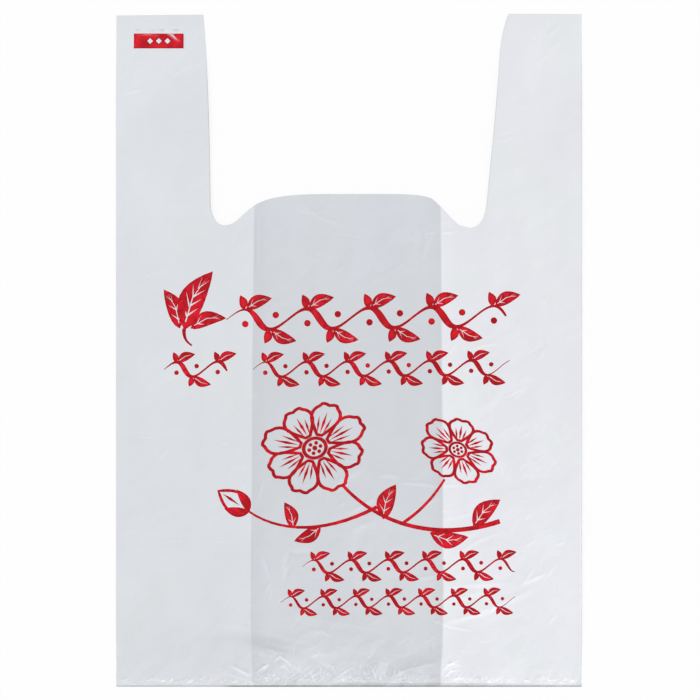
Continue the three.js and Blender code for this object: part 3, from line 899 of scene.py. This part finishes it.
def deselect():
    for thing in bpy.context.selected_objects:
        thing.select_set(False)


def activate(piece):
    deselect()
    piece.select_set(True)
    bpy.context.view_layer.objects.active = piece


def meshPiece(name, points, faces, material):
    mesh = bpy.data.meshes.new(name)
    mesh.from_pydata((points * mm).tolist(), [], [tuple(int(i) for i in face) for face in faces])
    mesh.materials.append(material)
    piece = bpy.data.objects.new(name, mesh)
    bpy.context.scene.collection.objects.link(piece)
    return piece


def thicken(piece, thickness):
    activate(piece)
    wall = piece.modifiers.new("wall", "SOLIDIFY")
    wall.thickness = thickness * mm
    wall.offset = -1
    bpy.ops.object.modifier_apply(modifier="wall")
    bpy.ops.object.shade_smooth_by_angle(angle=math.radians(60))


def addValues(piece, name, values):
    attribute = piece.data.attributes.new(name, "FLOAT", "POINT")
    attribute.data.foreach_set("value", np.ascontiguousarray(values, dtype=np.float32))


# Patches where the film is darker or paler: centre, half sizes, turn in degrees, and change
patches = (
    (-53, -188, 15, 3.6, -8, -0.10),
    (-44, -193.5, 14, 1.5, -15, -0.07),
    (-76, -185, 12, 3.2, 0, -0.04),
    (42, -201.5, 16, 2.2, 18, -0.075),
    (52, -194.5, 9, 1.6, 30, -0.05),
    (-5, -173, 46, 5.0, -4, -0.022),
    (-22, -202, 20, 5.0, 0, 0.035),
    (-18, -183, 6, 1.8, 0, 0.05),
    (-19.5, -197, 6, 1.6, 0, 0.045),
    (66, -204, 7, 5, 20, 0.04),
    (-46, -205, 9, 4, 20, 0.03),
    (70, -207, 10, 7.0, 20, 0.03),
    (88, -172, 30, 5.0, 22, 0.02),
    (118, 176, 8, 22, 0, 0.02),
    (-120, 120, 9, 26, 4, 0.014),
    (-140, 135, 3.5, 40, 0, 0.012),
    (30, -122, 26, 20, 25, 0.018),
    (-19, -169, 22, 5.0, -6, -0.02),
    (-134, 157, 7, 9, 0, 0.016),
    (-136, 111, 7, 12, 20, 0.02),
)

# How much paler each part is towards the bottom, at its middle and towards the top
slopes = {
    "at": (-190.0, -20.0, 150.0),
    "left": (-0.012, 0.0, 0.02),
    "middle": (0.032, -0.012, 0.055),
    "right": (0.055, 0.016, 0.0),
}


def shadeMarks(x, y):
    total = np.zeros(len(x))
    for cx, cy, wide, high, turn, change in patches:
        c, s = math.cos(math.radians(turn)), math.sin(math.radians(turn))
        u, v = c * (x - cx) + s * (y - cy), c * (y - cy) - s * (x - cx)
        total += change * np.exp(-(u / wide) ** 2 - (v / high) ** 2)
    left, middle, right = (np.interp(y, slopes["at"], slopes[part]) for part in ("left", "middle", "right"))
    return total + np.where(x < foldAt(y, -1), left, np.where(x > foldAt(y, 1), right, middle))


# beyond the lifted corner painted shade, and along its bend a painted highlight
edgeTones = {"corner": -0.12, "cornerLine": 0.04, "cut": -0.07, "rightCut": -0.10, "fold": -0.01}


# Tones that end in a line: the skirt, the rounded corner over it, and the very edge of the film.
# The skirt and the corner get painted shade, the line over the skirt and the corner's bend a painted
# highlight, the very edge a thin line of painted shade, and cut edges and folds are a little darker.
def steppedTones(x, y, outline):
    above = y + halfLength - skirtHeight(x)
    tone = np.where(above < touch, np.interp(x, skirtEdge["at"], skirtEdge["tone"]), 0.0)
    tone[np.abs(above - skirtEdge["band"]) < touch] = skirtEdge["light"]
    veryEdge = y < -halfLength + skirtEdge["edge"] + touch
    tone[veryEdge] = np.interp(x[veryEdge], skirtEdge["at"], skirtEdge["edgeTone"])
    cx, cy = corner["centre"]
    reach = np.hypot(x - cx, y - cy)
    quarter = (x > cx) & (y < cy)
    # painted shade beyond the rounded corner, and a painted highlight along its bend
    tone[quarter & (reach > corner["radius"] - touch) & (tone == 0)] = edgeTones["corner"]
    tone[quarter & (np.abs(reach - corner["radius"] + corner["band"]) < touch)] = edgeTones["cornerLine"]
    onEdge = (nearest(zip(x, y), outline) < touch) & (y > -halfLength + 3)
    cut = np.where((x > 60) & (y > 90), edgeTones["rightCut"], edgeTones["cut"])  # round the right handle
    tone[onEdge] += np.where(np.abs(x) > halfWidth - touch, edgeTones["fold"], cut)[onEdge]
    return tone


# -1 at the left gusset fold and 1 at the right one, whatever way they run
def acrossShare(x, y):
    left, right = foldAt(y, -1), foldAt(y, 1)
    return (2 * x - left - right) / (right - left)


# How crumpled the film is: least of all, over the weld at the left, middle and right, and in
# patches with an amount, a centre, half sizes and a power across
crumpled = {
    "least": 0.11,
    "elsewhere": 0.1,  # on the back and in the gussets
    "weldHeight": 13.0,
    "weldTurns": (-75, 85),
    "weld": (0.36, 0.62, 0.45),
    "patches": (
        (0.62, -2, -204, 56, 14, 2),
        (0.16, 0, -150, 58, 70, 2),
        (0.12, 0, 62, 52, 34, 4),
        (0.16, 108, -80, 38, 105, 2),
    ),
}


def crumpleShare(x, y):
    left, middle, right = crumpled["weld"]
    first, second = crumpled["weldTurns"]
    weld = np.where(x > second, right, np.where(x < first, left, middle))
    total = crumpled["least"] + np.exp(-((y + halfLength) / crumpled["weldHeight"]) ** 2) * weld
    for amount, cx, cy, wide, high, power in crumpled["patches"]:
        total += amount * np.exp(-((x - cx) / wide) ** power - ((y - cy) / high) ** 2)
    return np.clip(total, 0, 1)


# How the front and the gussets follow the waves: less at the weld and at the sides
looseness = {
    "weld": 0.2,
    "side": 0.3,
    "sideFade": 6.0,
    "deepest": 0.9,  # of the room down to the upper gusset layer
    "upperGusset": 0.5,
    "lowerGusset": 0.3,
    "back": 0.01,  # the back's height over the table
}


def frontLift(flat, creaseLift):
    x, y = flat[:, 0], flat[:, 1]
    loose = looseness["weld"] + (1 - looseness["weld"]) * openShare(y)
    fromSide = ease((halfWidth - np.abs(x)) / looseness["sideFade"])
    edge = looseness["side"] + (1 - looseness["side"]) * fromSide
    lift = (creaseLift + slowWaves(x, y) * openShare(y)) * loose * edge
    room = (1 - film["upperGusset"]) * stackHeight(x, y) - 2 * film["thickness"] - 0.01
    return np.maximum(lift, -looseness["deepest"] * np.maximum(room, 0))


# Both layers of a side's gusset, joined to the front, to the back and to each other
def addGusset(skin, side, fold, outline, grid, frontSide, backSide):
    flat, faces = flatSheet(outline, [fold], [], grid)
    centres = flat[faces].mean(axis=1)
    beyond = side * (centres[:, 0] - foldAt(centres[:, 1], side)) > 0
    flat, faces = onlyUsed(flat, faces[beyond])
    follow = slowWaves(flat[:, 0], flat[:, 1]) * openShare(flat[:, 1])
    upper, lower = (
        skin.add(layIn(flat, film[layer], looseness[layer] * follow, side), faces)
        for layer in ("upperGusset", "lowerGusset")
    )
    edge = atSide(flat, side)
    bulge = side * (1 - film["upperGusset"]) / 2 * stackHeight(flat[edge, 0], flat[edge, 1])
    skin.roll(frontSide, upper + edge, bulge)
    skin.roll(lower + edge, backSide, bulge)
    inner = byHeight(flat, np.abs(flat[:, 0] - foldAt(flat[:, 1], side)) < touch)
    gap = film["upperGusset"] - film["lowerGusset"]
    skin.roll(upper + inner, lower + inner, -side * gap / 2 * stackHeight(flat[inner, 0], flat[inner, 1]))


def makeBag(filmMaterial, inkMaterial):
    outline = bagOutline()
    folds = [foldLine(-1), foldLine(1)]
    rim = np.array(shrink(outline, -rimWidth))
    lines = folds + stepLines() + [rim[rim[:, 1] > -halfLength + 4]]
    motifs = printMotifs()
    loops = [np.array(loop) for motif in motifs for loop in [motif["outer"]] + motif["holes"]]
    creases = allCreases()
    drawn = np.vstack([outline] + lines + loops)
    spots = thinned(creaseSpots(creases + boxWear), sheets["creaseStep"])
    spots = clearOf(withinEdges(spots, sheets["creaseMargin"]), drawn, sheets["creaseClear"])
    spots = np.vstack([spots, gridFor("front", np.vstack([drawn, spots]))])
    flat, faces = onlyUsed(*flatSheet(outline, lines, loops, spots))
    print("front sheet:", len(faces), "triangles")

    x, y = flat[:, 0], flat[:, 1]
    creaseLift, white = creaseField(flat, creases)
    frontPoints = layIn(flat, 1.0, frontLift(flat, creaseLift))
    # the tone holds the creases' painted glints and shade, and the painted shade and highlights at the skirt
    # and corner
    tone = white + shadeMarks(x, y) + steppedTones(x, y, outline)
    crumple = crumpleShare(x, y)

    skin = Skin()
    skin.add(frontPoints, faces)
    fixed = np.vstack([outline] + folds)
    backFlat, backFaces = onlyUsed(*flatSheet(outline, [], [], gridFor("back", fixed)))
    backStart = skin.add(layIn(backFlat, 0.0, np.full(len(backFlat), looseness["back"])), backFaces)
    gussetGrid = gridFor("gusset", fixed)
    for side, fold in zip((-1, 1), folds):
        backSide = backStart + atSide(backFlat, side)
        addGusset(skin, side, fold, outline, gussetGrid, atSide(flat, side), backSide)

    points = np.vstack(skin.points)
    bagPiece = meshPiece("carrier_bag_film", points, skin.faces, filmMaterial)
    others = np.zeros(len(points) - len(flat))
    addValues(bagPiece, "tone", np.concatenate([tone, others]))
    addValues(bagPiece, "crumple", np.concatenate([crumple, others + crumpled["elsewhere"]]))
    addValues(bagPiece, "across", acrossShare(points[:, 0], points[:, 1]))
    faceOutwards(bagPiece)
    thicken(bagPiece, film["thickness"])
    print("film:", len(bagPiece.data.polygons), "faces")

    inkFaces = faces[inInk(flat[faces].mean(axis=1), motifs)]
    used, renumbered = np.unique(inkFaces, return_inverse=True)
    raised = frontPoints[used] + np.array([0, 0, printed["height"]])
    inkPiece = meshPiece("print_ink", raised, renumbered.reshape(inkFaces.shape), inkMaterial)
    addValues(inkPiece, "crumple", crumple[used])
    addValues(inkPiece, "worn", creaseField(flat[used], boxWear)[1])
    # 1 on the edge of a field of ink and 0 inside it
    addValues(inkPiece, "rim", nearest(flat[used], np.vstack(loops)) < touch)
    faceOutwards(inkPiece)
    thicken(inkPiece, printed["thickness"])
    print("ink:", len(inkPiece.data.polygons), "faces")
    return bagPiece, inkPiece


# All faces agree, and the front's look up
def faceOutwards(piece):
    work = bmesh.new()
    work.from_mesh(piece.data)
    bmesh.ops.recalc_face_normals(work, faces=work.faces[:])
    work.faces.ensure_lookup_table()
    if work.faces[0].normal.z < 0:
        bmesh.ops.reverse_faces(work, faces=work.faces[:])
    work.to_mesh(piece.data)
    work.free()


# Materials. An input is given by its name or number, as a value or as another node's output.
def wire(tree, node, inputs):
    for key, source in inputs.items():
        if isinstance(source, (int, float, tuple)):
            node.inputs[key].default_value = source
        else:
            tree.links.new(source, node.inputs[key])


def addNode(tree, kind, inputs=None, **settings):
    node = tree.nodes.new("ShaderNode" + kind)
    for name, value in settings.items():
        setattr(node, name, value)
    wire(tree, node, inputs or {})
    return node


def calculate(tree, operation, *values):
    return addNode(tree, "Math", dict(enumerate(values)), operation=operation).outputs[0]


def calculateVector(tree, operation, *values):
    return addNode(tree, "VectorMath", dict(enumerate(values)), operation=operation).outputs[0]


def attributeOf(tree, name):
    return addNode(tree, "Attribute", attribute_name=name).outputs["Fac"]


def noise(tree, vector, scale, detail=2, dimensions="3D"):
    inputs = {"Vector": vector, "Scale": scale, "Detail": detail}
    return addNode(tree, "TexNoise", inputs, noise_dimensions=dimensions).outputs


def cellsOf(tree, vector, scale, feature, output):
    inputs = {"Vector": vector, "Scale": scale}
    return addNode(tree, "TexVoronoi", inputs, feature=feature, voronoi_dimensions="2D").outputs[output]


# From 0 at low to most at high, with soft ends
def softStep(tree, value, low, high=1.0, most=1.0):
    inputs = {"Value": value, "From Min": low, "From Max": high, "To Max": most}
    return addNode(tree, "MapRange", inputs, interpolation_type="SMOOTHSTEP").outputs[0]


def mixColours(tree, share, first, second):
    inputs = {"Factor": share, 6: first, 7: second}  # the colour sockets of a mix
    return addNode(tree, "Mix", inputs, data_type="RGBA", clamp_factor=True).outputs[2]


# What the film's surface is like: scales are cells to a metre
surfaceLook = {
    "bendScale": 60,
    "bend": (0.012, 0.012, 0),  # how far the cells' borders wander
    "crinkles": ((70, 1.0), (190, 0.45)),  # scales and strengths
    "fineScale": 260,
    "fine": 0.03,
    "cloudScale": 55,
    "cloudStretch": (1.0, 0.28, 1.0),  # the film was drawn lengthways
    "driftScale": 16,
    "lean": 38.0,  # most creases rise to the right
    "along": 0.42,  # and are longer than they are wide
    "facets": 170,
    "facetShare": 0.14,
    "ridges": (62, 120),
    "ridgeShare": 0.13,
    "ridgesShown": (60, 0.48, 0.62),  # the scale and the ends of the mask
    "smallRidges": 270,
    "smallShare": 0.15,
    "smallShown": (140, 0.5, 0.62),
    "smallFrom": 0.38,  # only where the film is more crumpled than this
    "ridgeWidth": 0.42,
}


# Thin pale lines where film has been folded, partly whitened film and partly a painted glint: the
# borders of cells, wherever a cloudy mask shows them
def ridgeMarks(tree, vector, scale, mask):
    border = cellsOf(tree, vector, scale, "DISTANCE_TO_EDGE", "Distance")
    near = calculate(tree, "DIVIDE", border, surfaceLook["ridgeWidth"] * mm * scale)
    ridge = calculate(tree, "MAXIMUM", calculate(tree, "SUBTRACT", 1.0, near), 0.0)
    return calculate(tree, "MULTIPLY", ridge, mask)


def cloudyMask(tree, vector, scale, low, high):
    return softStep(tree, noise(tree, vector, scale, dimensions="2D")["Fac"], low, high)


def surfaceGroup():
    look = surfaceLook
    tree = bpy.data.node_groups.new("filmSurface", "ShaderNodeTree")
    tree.interface.new_socket("Position", in_out="INPUT", socket_type="NodeSocketVector")
    tree.interface.new_socket("Crumple", in_out="INPUT", socket_type="NodeSocketFloat")
    for name in ("Height", "Cloud", "CrinkleLightAndShade", "Drift"):
        tree.interface.new_socket(name, in_out="OUTPUT", socket_type="NodeSocketFloat")
    position, crumple = tree.nodes.new("NodeGroupInput").outputs[:2]
    bend = noise(tree, position, look["bendScale"])["Color"]
    bent = calculateVector(tree, "MULTIPLY_ADD", bend, look["bend"], position)

    coarse, small = (
        calculate(tree, "MULTIPLY", cellsOf(tree, bent, scale, "DISTANCE_TO_EDGE", "Distance"), strength)
        for scale, strength in look["crinkles"]
    )
    height = calculate(tree, "MULTIPLY", calculate(tree, "ADD", coarse, small), crumple)
    fine = noise(tree, position, look["fineScale"], 3)["Fac"]
    height = calculate(tree, "MULTIPLY_ADD", fine, look["fine"], height)

    stretched = calculateVector(tree, "MULTIPLY", position, look["cloudStretch"])
    cloud = calculate(tree, "SUBTRACT", noise(tree, stretched, look["cloudScale"], 4)["Fac"], 0.5)

    # facets of crumpled film, some painted lighter and some darker as light would fall on their tilts,
    # with some of their ridges stretched pale and given a painted glint
    turn = (0, 0, math.radians(look["lean"]))
    inputs = {"Vector": bent, "Rotation": turn, "Scale": (1 / look["along"], 1, 1)}
    leaning = addNode(tree, "Mapping", inputs, vector_type="TEXTURE").outputs[0]
    colour = cellsOf(tree, leaning, look["facets"], "F1", "Color")
    # painted light and shade: some facets a little lighter, some darker
    facet = calculate(tree, "SUBTRACT", addNode(tree, "SeparateColor", {0: colour}).outputs[0], 0.5)
    marks = calculate(tree, "MULTIPLY", facet, look["facetShare"])
    shown = cloudyMask(tree, position, *look["ridgesShown"])
    for scale in look["ridges"]:
        ridge = ridgeMarks(tree, leaning, scale, shown)
        marks = calculate(tree, "MULTIPLY_ADD", ridge, look["ridgeShare"], marks)
    marks = calculate(tree, "MULTIPLY", marks, crumple)
    crowded = calculate(tree, "MAXIMUM", calculate(tree, "SUBTRACT", crumple, look["smallFrom"]), 0.0)
    few = ridgeMarks(tree, bent, look["smallRidges"], cloudyMask(tree, position, *look["smallShown"]))
    few = calculate(tree, "MULTIPLY", few, look["smallShare"])
    crinkleLightAndShade = calculate(tree, "MULTIPLY_ADD", few, crowded, marks)

    drift = noise(tree, position, look["driftScale"], dimensions="2D")["Fac"]
    drift = calculate(tree, "SUBTRACT", drift, 0.5)
    wire(tree, tree.nodes.new("NodeGroupOutput"), dict(enumerate((height, cloud, crinkleLightAndShade, drift))))
    return tree


def bareMaterial(name):
    material = bpy.data.materials.new(name)
    material.use_nodes = True
    tree = material.node_tree
    tree.nodes.clear()
    return material, tree, addNode(tree, "OutputMaterial")


# A material with the film's bumps. What varies over its surface comes with it, for its colours.
def surfaceMaterial(name, group):
    material, tree, output = bareMaterial(name)
    position = addNode(tree, "TexCoord").outputs["Object"]
    inputs = {"Position": position, "Crumple": attributeOf(tree, "crumple")}
    surface = addNode(tree, "Group", inputs, node_tree=group).outputs
    bump = addNode(tree, "Bump", {"Distance": filmLook["bump"], "Height": surface["Height"]})
    shader = addNode(tree, "BsdfPrincipled", {"Normal": bump.outputs[0]})
    wire(tree, output, {"Surface": shader.outputs[0]})
    return material, tree, shader, position, surface


filmLook = {
    # left and right differ by painted light falling from the right; the middle is darker as painted shade
    "left": (0.715, 0.738, 0.772),
    "middle": (0.640, 0.664, 0.699),
    "right": (0.778, 0.793, 0.830),
    "foldShade": 0.955,  # the front's shade just inside a gusset fold
    "shadeWidth": 10.0,
    "halfMiddle": 61.3,  # millimetres from the middle of the bag to a fold
    "widest": 90.0,  # where the colours across the bag no longer change
    "roughness": 0.24,
    "ior": 1.5,
    "bump": 0.0009,
    "cloud": 0.065,
    "drift": 0.05,
    "hueDrift": 3.0,
    "cool": (1.004, 0.998, 1.010),
    "warm": (0.996, 1.002, 0.992),
    "seamAt": 147.5,  # a faint line inside the right edge, with a paler strip outside it that is a painted highlight on the rolled edge
    "seamWidth": 0.5,
    "seam": -0.015,
    "strip": 0.004,
}


# Colours across the bag: four layers at the left, two in the middle, four at the right. The right is
# paler by painted light, the two-layer middle darker by painted shade, and each fold has a painted
# highlight just outside it and painted shade at it and just inside.
def acrossBag(tree, position):
    half, widest = filmLook["halfMiddle"], filmLook["widest"]

    def at(x):
        return 0.5 + 0.5 * x / widest

    def shaded(colour, factor):
        return tuple(c * factor for c in colour)

    left, middle, right = filmLook["left"], filmLook["middle"], filmLook["right"]
    width, shade = filmLook["shadeWidth"], filmLook["foldShade"]
    # a painted highlight just outside each fold, and painted shade at it and just inside
    stops = [
        (at(-half - 12), left),
        (at(-half - 0.9), shaded(left, 1.01)),
        (at(-half - 0.2), shaded(left, 0.99)),
        (at(-half + 0.2), shaded(middle, shade)),
        (at(-half + width), middle),
        (at(half - width), middle),
        (at(half - 0.2), shaded(middle, shade)),
        (at(half + 0.2), shaded(right, 0.99)),
        (at(half + 0.9), shaded(right, 1.02)),
        (at(half + 12), right),
    ]
    share = calculate(tree, "MULTIPLY_ADD", attributeOf(tree, "across"), 0.5 * half / widest, 0.5)
    return colourRamp(tree, share, stops)


def colourRamp(tree, share, stops):
    ramp = addNode(tree, "ValToRGB", {0: share})
    elements = ramp.color_ramp.elements
    while len(elements) < len(stops):
        elements.new(0.5)
    for element, (where, colour) in zip(elements, stops):
        element.position = where
        element.color = (*colour, 1)
    return ramp.outputs["Color"]


# The faint line down the right side, and the strip outside it, paler as a painted highlight where the film
# rolls over
def seamTone(tree, position):
    width = filmLook["seamWidth"] * mm
    x = addNode(tree, "SeparateXYZ", {0: position}).outputs["X"]
    fromSeam = calculate(tree, "SUBTRACT", x, filmLook["seamAt"] * mm)
    gap = calculate(tree, "DIVIDE", calculate(tree, "ABSOLUTE", fromSeam), width)
    line = calculate(tree, "MAXIMUM", calculate(tree, "SUBTRACT", 1.0, gap), 0.0)
    # the paler strip is a painted highlight on the rolled edge
    outside = calculate(tree, "GREATER_THAN", fromSeam, width)
    strip = calculate(tree, "MULTIPLY", outside, filmLook["strip"])
    return calculate(tree, "MULTIPLY_ADD", line, filmLook["seam"], strip)


def filmMaterialOf(group):
    material, tree, shader, position, surface = surfaceMaterial("film", group)
    factor = calculate(tree, "ADD", attributeOf(tree, "tone"), 1.0)
    factor = calculate(tree, "ADD", factor, seamTone(tree, position))
    # the crinkles' painted light and shade, and the painted glints on their ridges
    factor = calculate(tree, "ADD", factor, surface["CrinkleLightAndShade"])
    factor = calculate(tree, "MULTIPLY_ADD", surface["Cloud"], filmLook["cloud"], factor)
    factor = calculate(tree, "MULTIPLY_ADD", surface["Drift"], filmLook["drift"], factor)
    warmth = calculate(tree, "MULTIPLY_ADD", surface["Drift"], filmLook["hueDrift"], 0.5)
    hue = mixColours(tree, warmth, (*filmLook["cool"], 1), (*filmLook["warm"], 1))
    hued = calculateVector(tree, "MULTIPLY", acrossBag(tree, position), hue)
    tinted = addNode(tree, "VectorMath", {0: hued, "Scale": factor}, operation="SCALE").outputs[0]
    wire(tree, shader, {"Base Color": tinted, "Roughness": filmLook["roughness"], "IOR": filmLook["ior"]})
    return material


inkLook = {
    "rim": (0.350, 0.004, 0.009),  # ink gathers darker along the edges and in thin strokes
    "rimFrom": 0.35,
    "rimShare": 0.8,
    "deep": (0.455, 0.0055, 0.0135),
    "full": (0.725, 0.011, 0.026),
    "deepAt": 0.36,  # where the mottling is wholly deep, and where it is wholly full
    "fullAt": 0.62,
    "mottle": 130,
    "roughness": 0.32,
    "roughnessDrift": 0.3,
    "specular": 0.12,
}


def inkMaterialOf(group):
    look = inkLook
    material, tree, shader, position, surface = surfaceMaterial("ink", group)
    mottle = noise(tree, position, look["mottle"], 3)["Fac"]
    colour = colourRamp(tree, mottle, [(look["deepAt"], look["deep"]), (look["fullAt"], look["full"])])
    edge = softStep(tree, attributeOf(tree, "rim"), look["rimFrom"], most=look["rimShare"])
    rimmed = mixColours(tree, edge, colour, (*look["rim"], 1))
    bared = mixColours(tree, attributeOf(tree, "worn"), rimmed, (*filmLook["left"], 1))
    rough = calculate(tree, "MULTIPLY_ADD", surface["Cloud"], look["roughnessDrift"], look["roughness"])
    wire(tree, shader, {"Base Color": bared, "Roughness": rough, "Specular IOR Level": look["specular"]})
    return material


# Floor, lights and camera
studio = {
    "floorSize": 3.0,
    "floorColour": (0.95, 0.95, 0.95),
    "shadowShare": 0.15,
    "world": 0.602,
    # each lamp's direction round the bag, its height and size in degrees, and its strength
    "lamps": {"key": (125, 45, 22, 0.4), "glint": (-20, 62, 9, 0.1125)},
    "lens": 85.0,
    "sensor": 36.0,
    "viewWidth": 451.2,
    "viewHeight": 1.0,  # the height above the floor at which the view is that wide
    "viewCentre": (0.65, 0.15),
}


# 1 where the background is seen, directly or in a gloss, and 0 where it only lights the bag
def seenRays(tree):
    path = addNode(tree, "LightPath").outputs
    seen = calculate(tree, "MAXIMUM", path["Is Camera Ray"], path["Is Glossy Ray"])
    return calculate(tree, "MAXIMUM", seen, path["Is Transmission Ray"])


def makeFloor():
    deselect()
    bpy.ops.mesh.primitive_plane_add(size=studio["floorSize"])
    floor = bpy.context.active_object
    floor.name = "floor"
    material, tree, output = bareMaterial("floorPaper")
    paper = addNode(tree, "BsdfDiffuse", {"Color": (*studio["floorColour"], 1)})
    glow = addNode(tree, "Emission", {"Strength": 1.0})
    share = calculate(tree, "MULTIPLY", seenRays(tree), 1 - studio["shadowShare"])
    both = addNode(tree, "MixShader", {0: share, 1: paper.outputs[0], 2: glow.outputs[0]})
    wire(tree, output, {"Surface": both.outputs[0]})
    floor.data.materials.append(material)


def addThing(name, data):
    thing = bpy.data.objects.new(name, data)
    bpy.context.scene.collection.objects.link(thing)
    return thing


def makeSun(name, azimuth, elevation, size, strength):
    data = bpy.data.lights.new(name, "SUN")
    data.energy = strength * math.pi
    data.angle = math.radians(size)
    a, e = math.radians(azimuth), math.radians(elevation)
    towards = Vector((math.cos(a) * math.cos(e), math.sin(a) * math.cos(e), math.sin(e)))
    addThing(name, data).rotation_euler = towards.to_track_quat("Z", "Y").to_euler()


def makeStudio():
    makeFloor()
    scene = bpy.context.scene
    world = bpy.data.worlds.new("studio")
    world.use_nodes = True
    tree = world.node_tree
    strength = calculate(tree, "MULTIPLY_ADD", seenRays(tree), 1 - studio["world"], studio["world"])
    wire(tree, tree.nodes["Background"], {"Color": (1, 1, 1, 1), "Strength": strength})
    scene.world = world
    for name, values in studio["lamps"].items():
        makeSun(name, *values)
    data = bpy.data.cameras.new("camera")
    data.lens = studio["lens"]
    data.sensor_width = studio["sensor"]
    scene.camera = addThing("camera", data)
    distance = studio["viewWidth"] * studio["lens"] / studio["sensor"] + studio["viewHeight"]
    scene.camera.location = [length * mm for length in (*studio["viewCentre"], distance)]
    scene.view_settings.view_transform = "Standard"


group = surfaceGroup()
bagPiece, inkPiece = makeBag(filmMaterialOf(group), inkMaterialOf(group))
for piece, slot in ((bagPiece, "film"), (inkPiece, "ink")):
    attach(piece, "root")
    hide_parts("carrier_bag")
print("bag made")

makeStudio()
print("floor, lights and camera made")
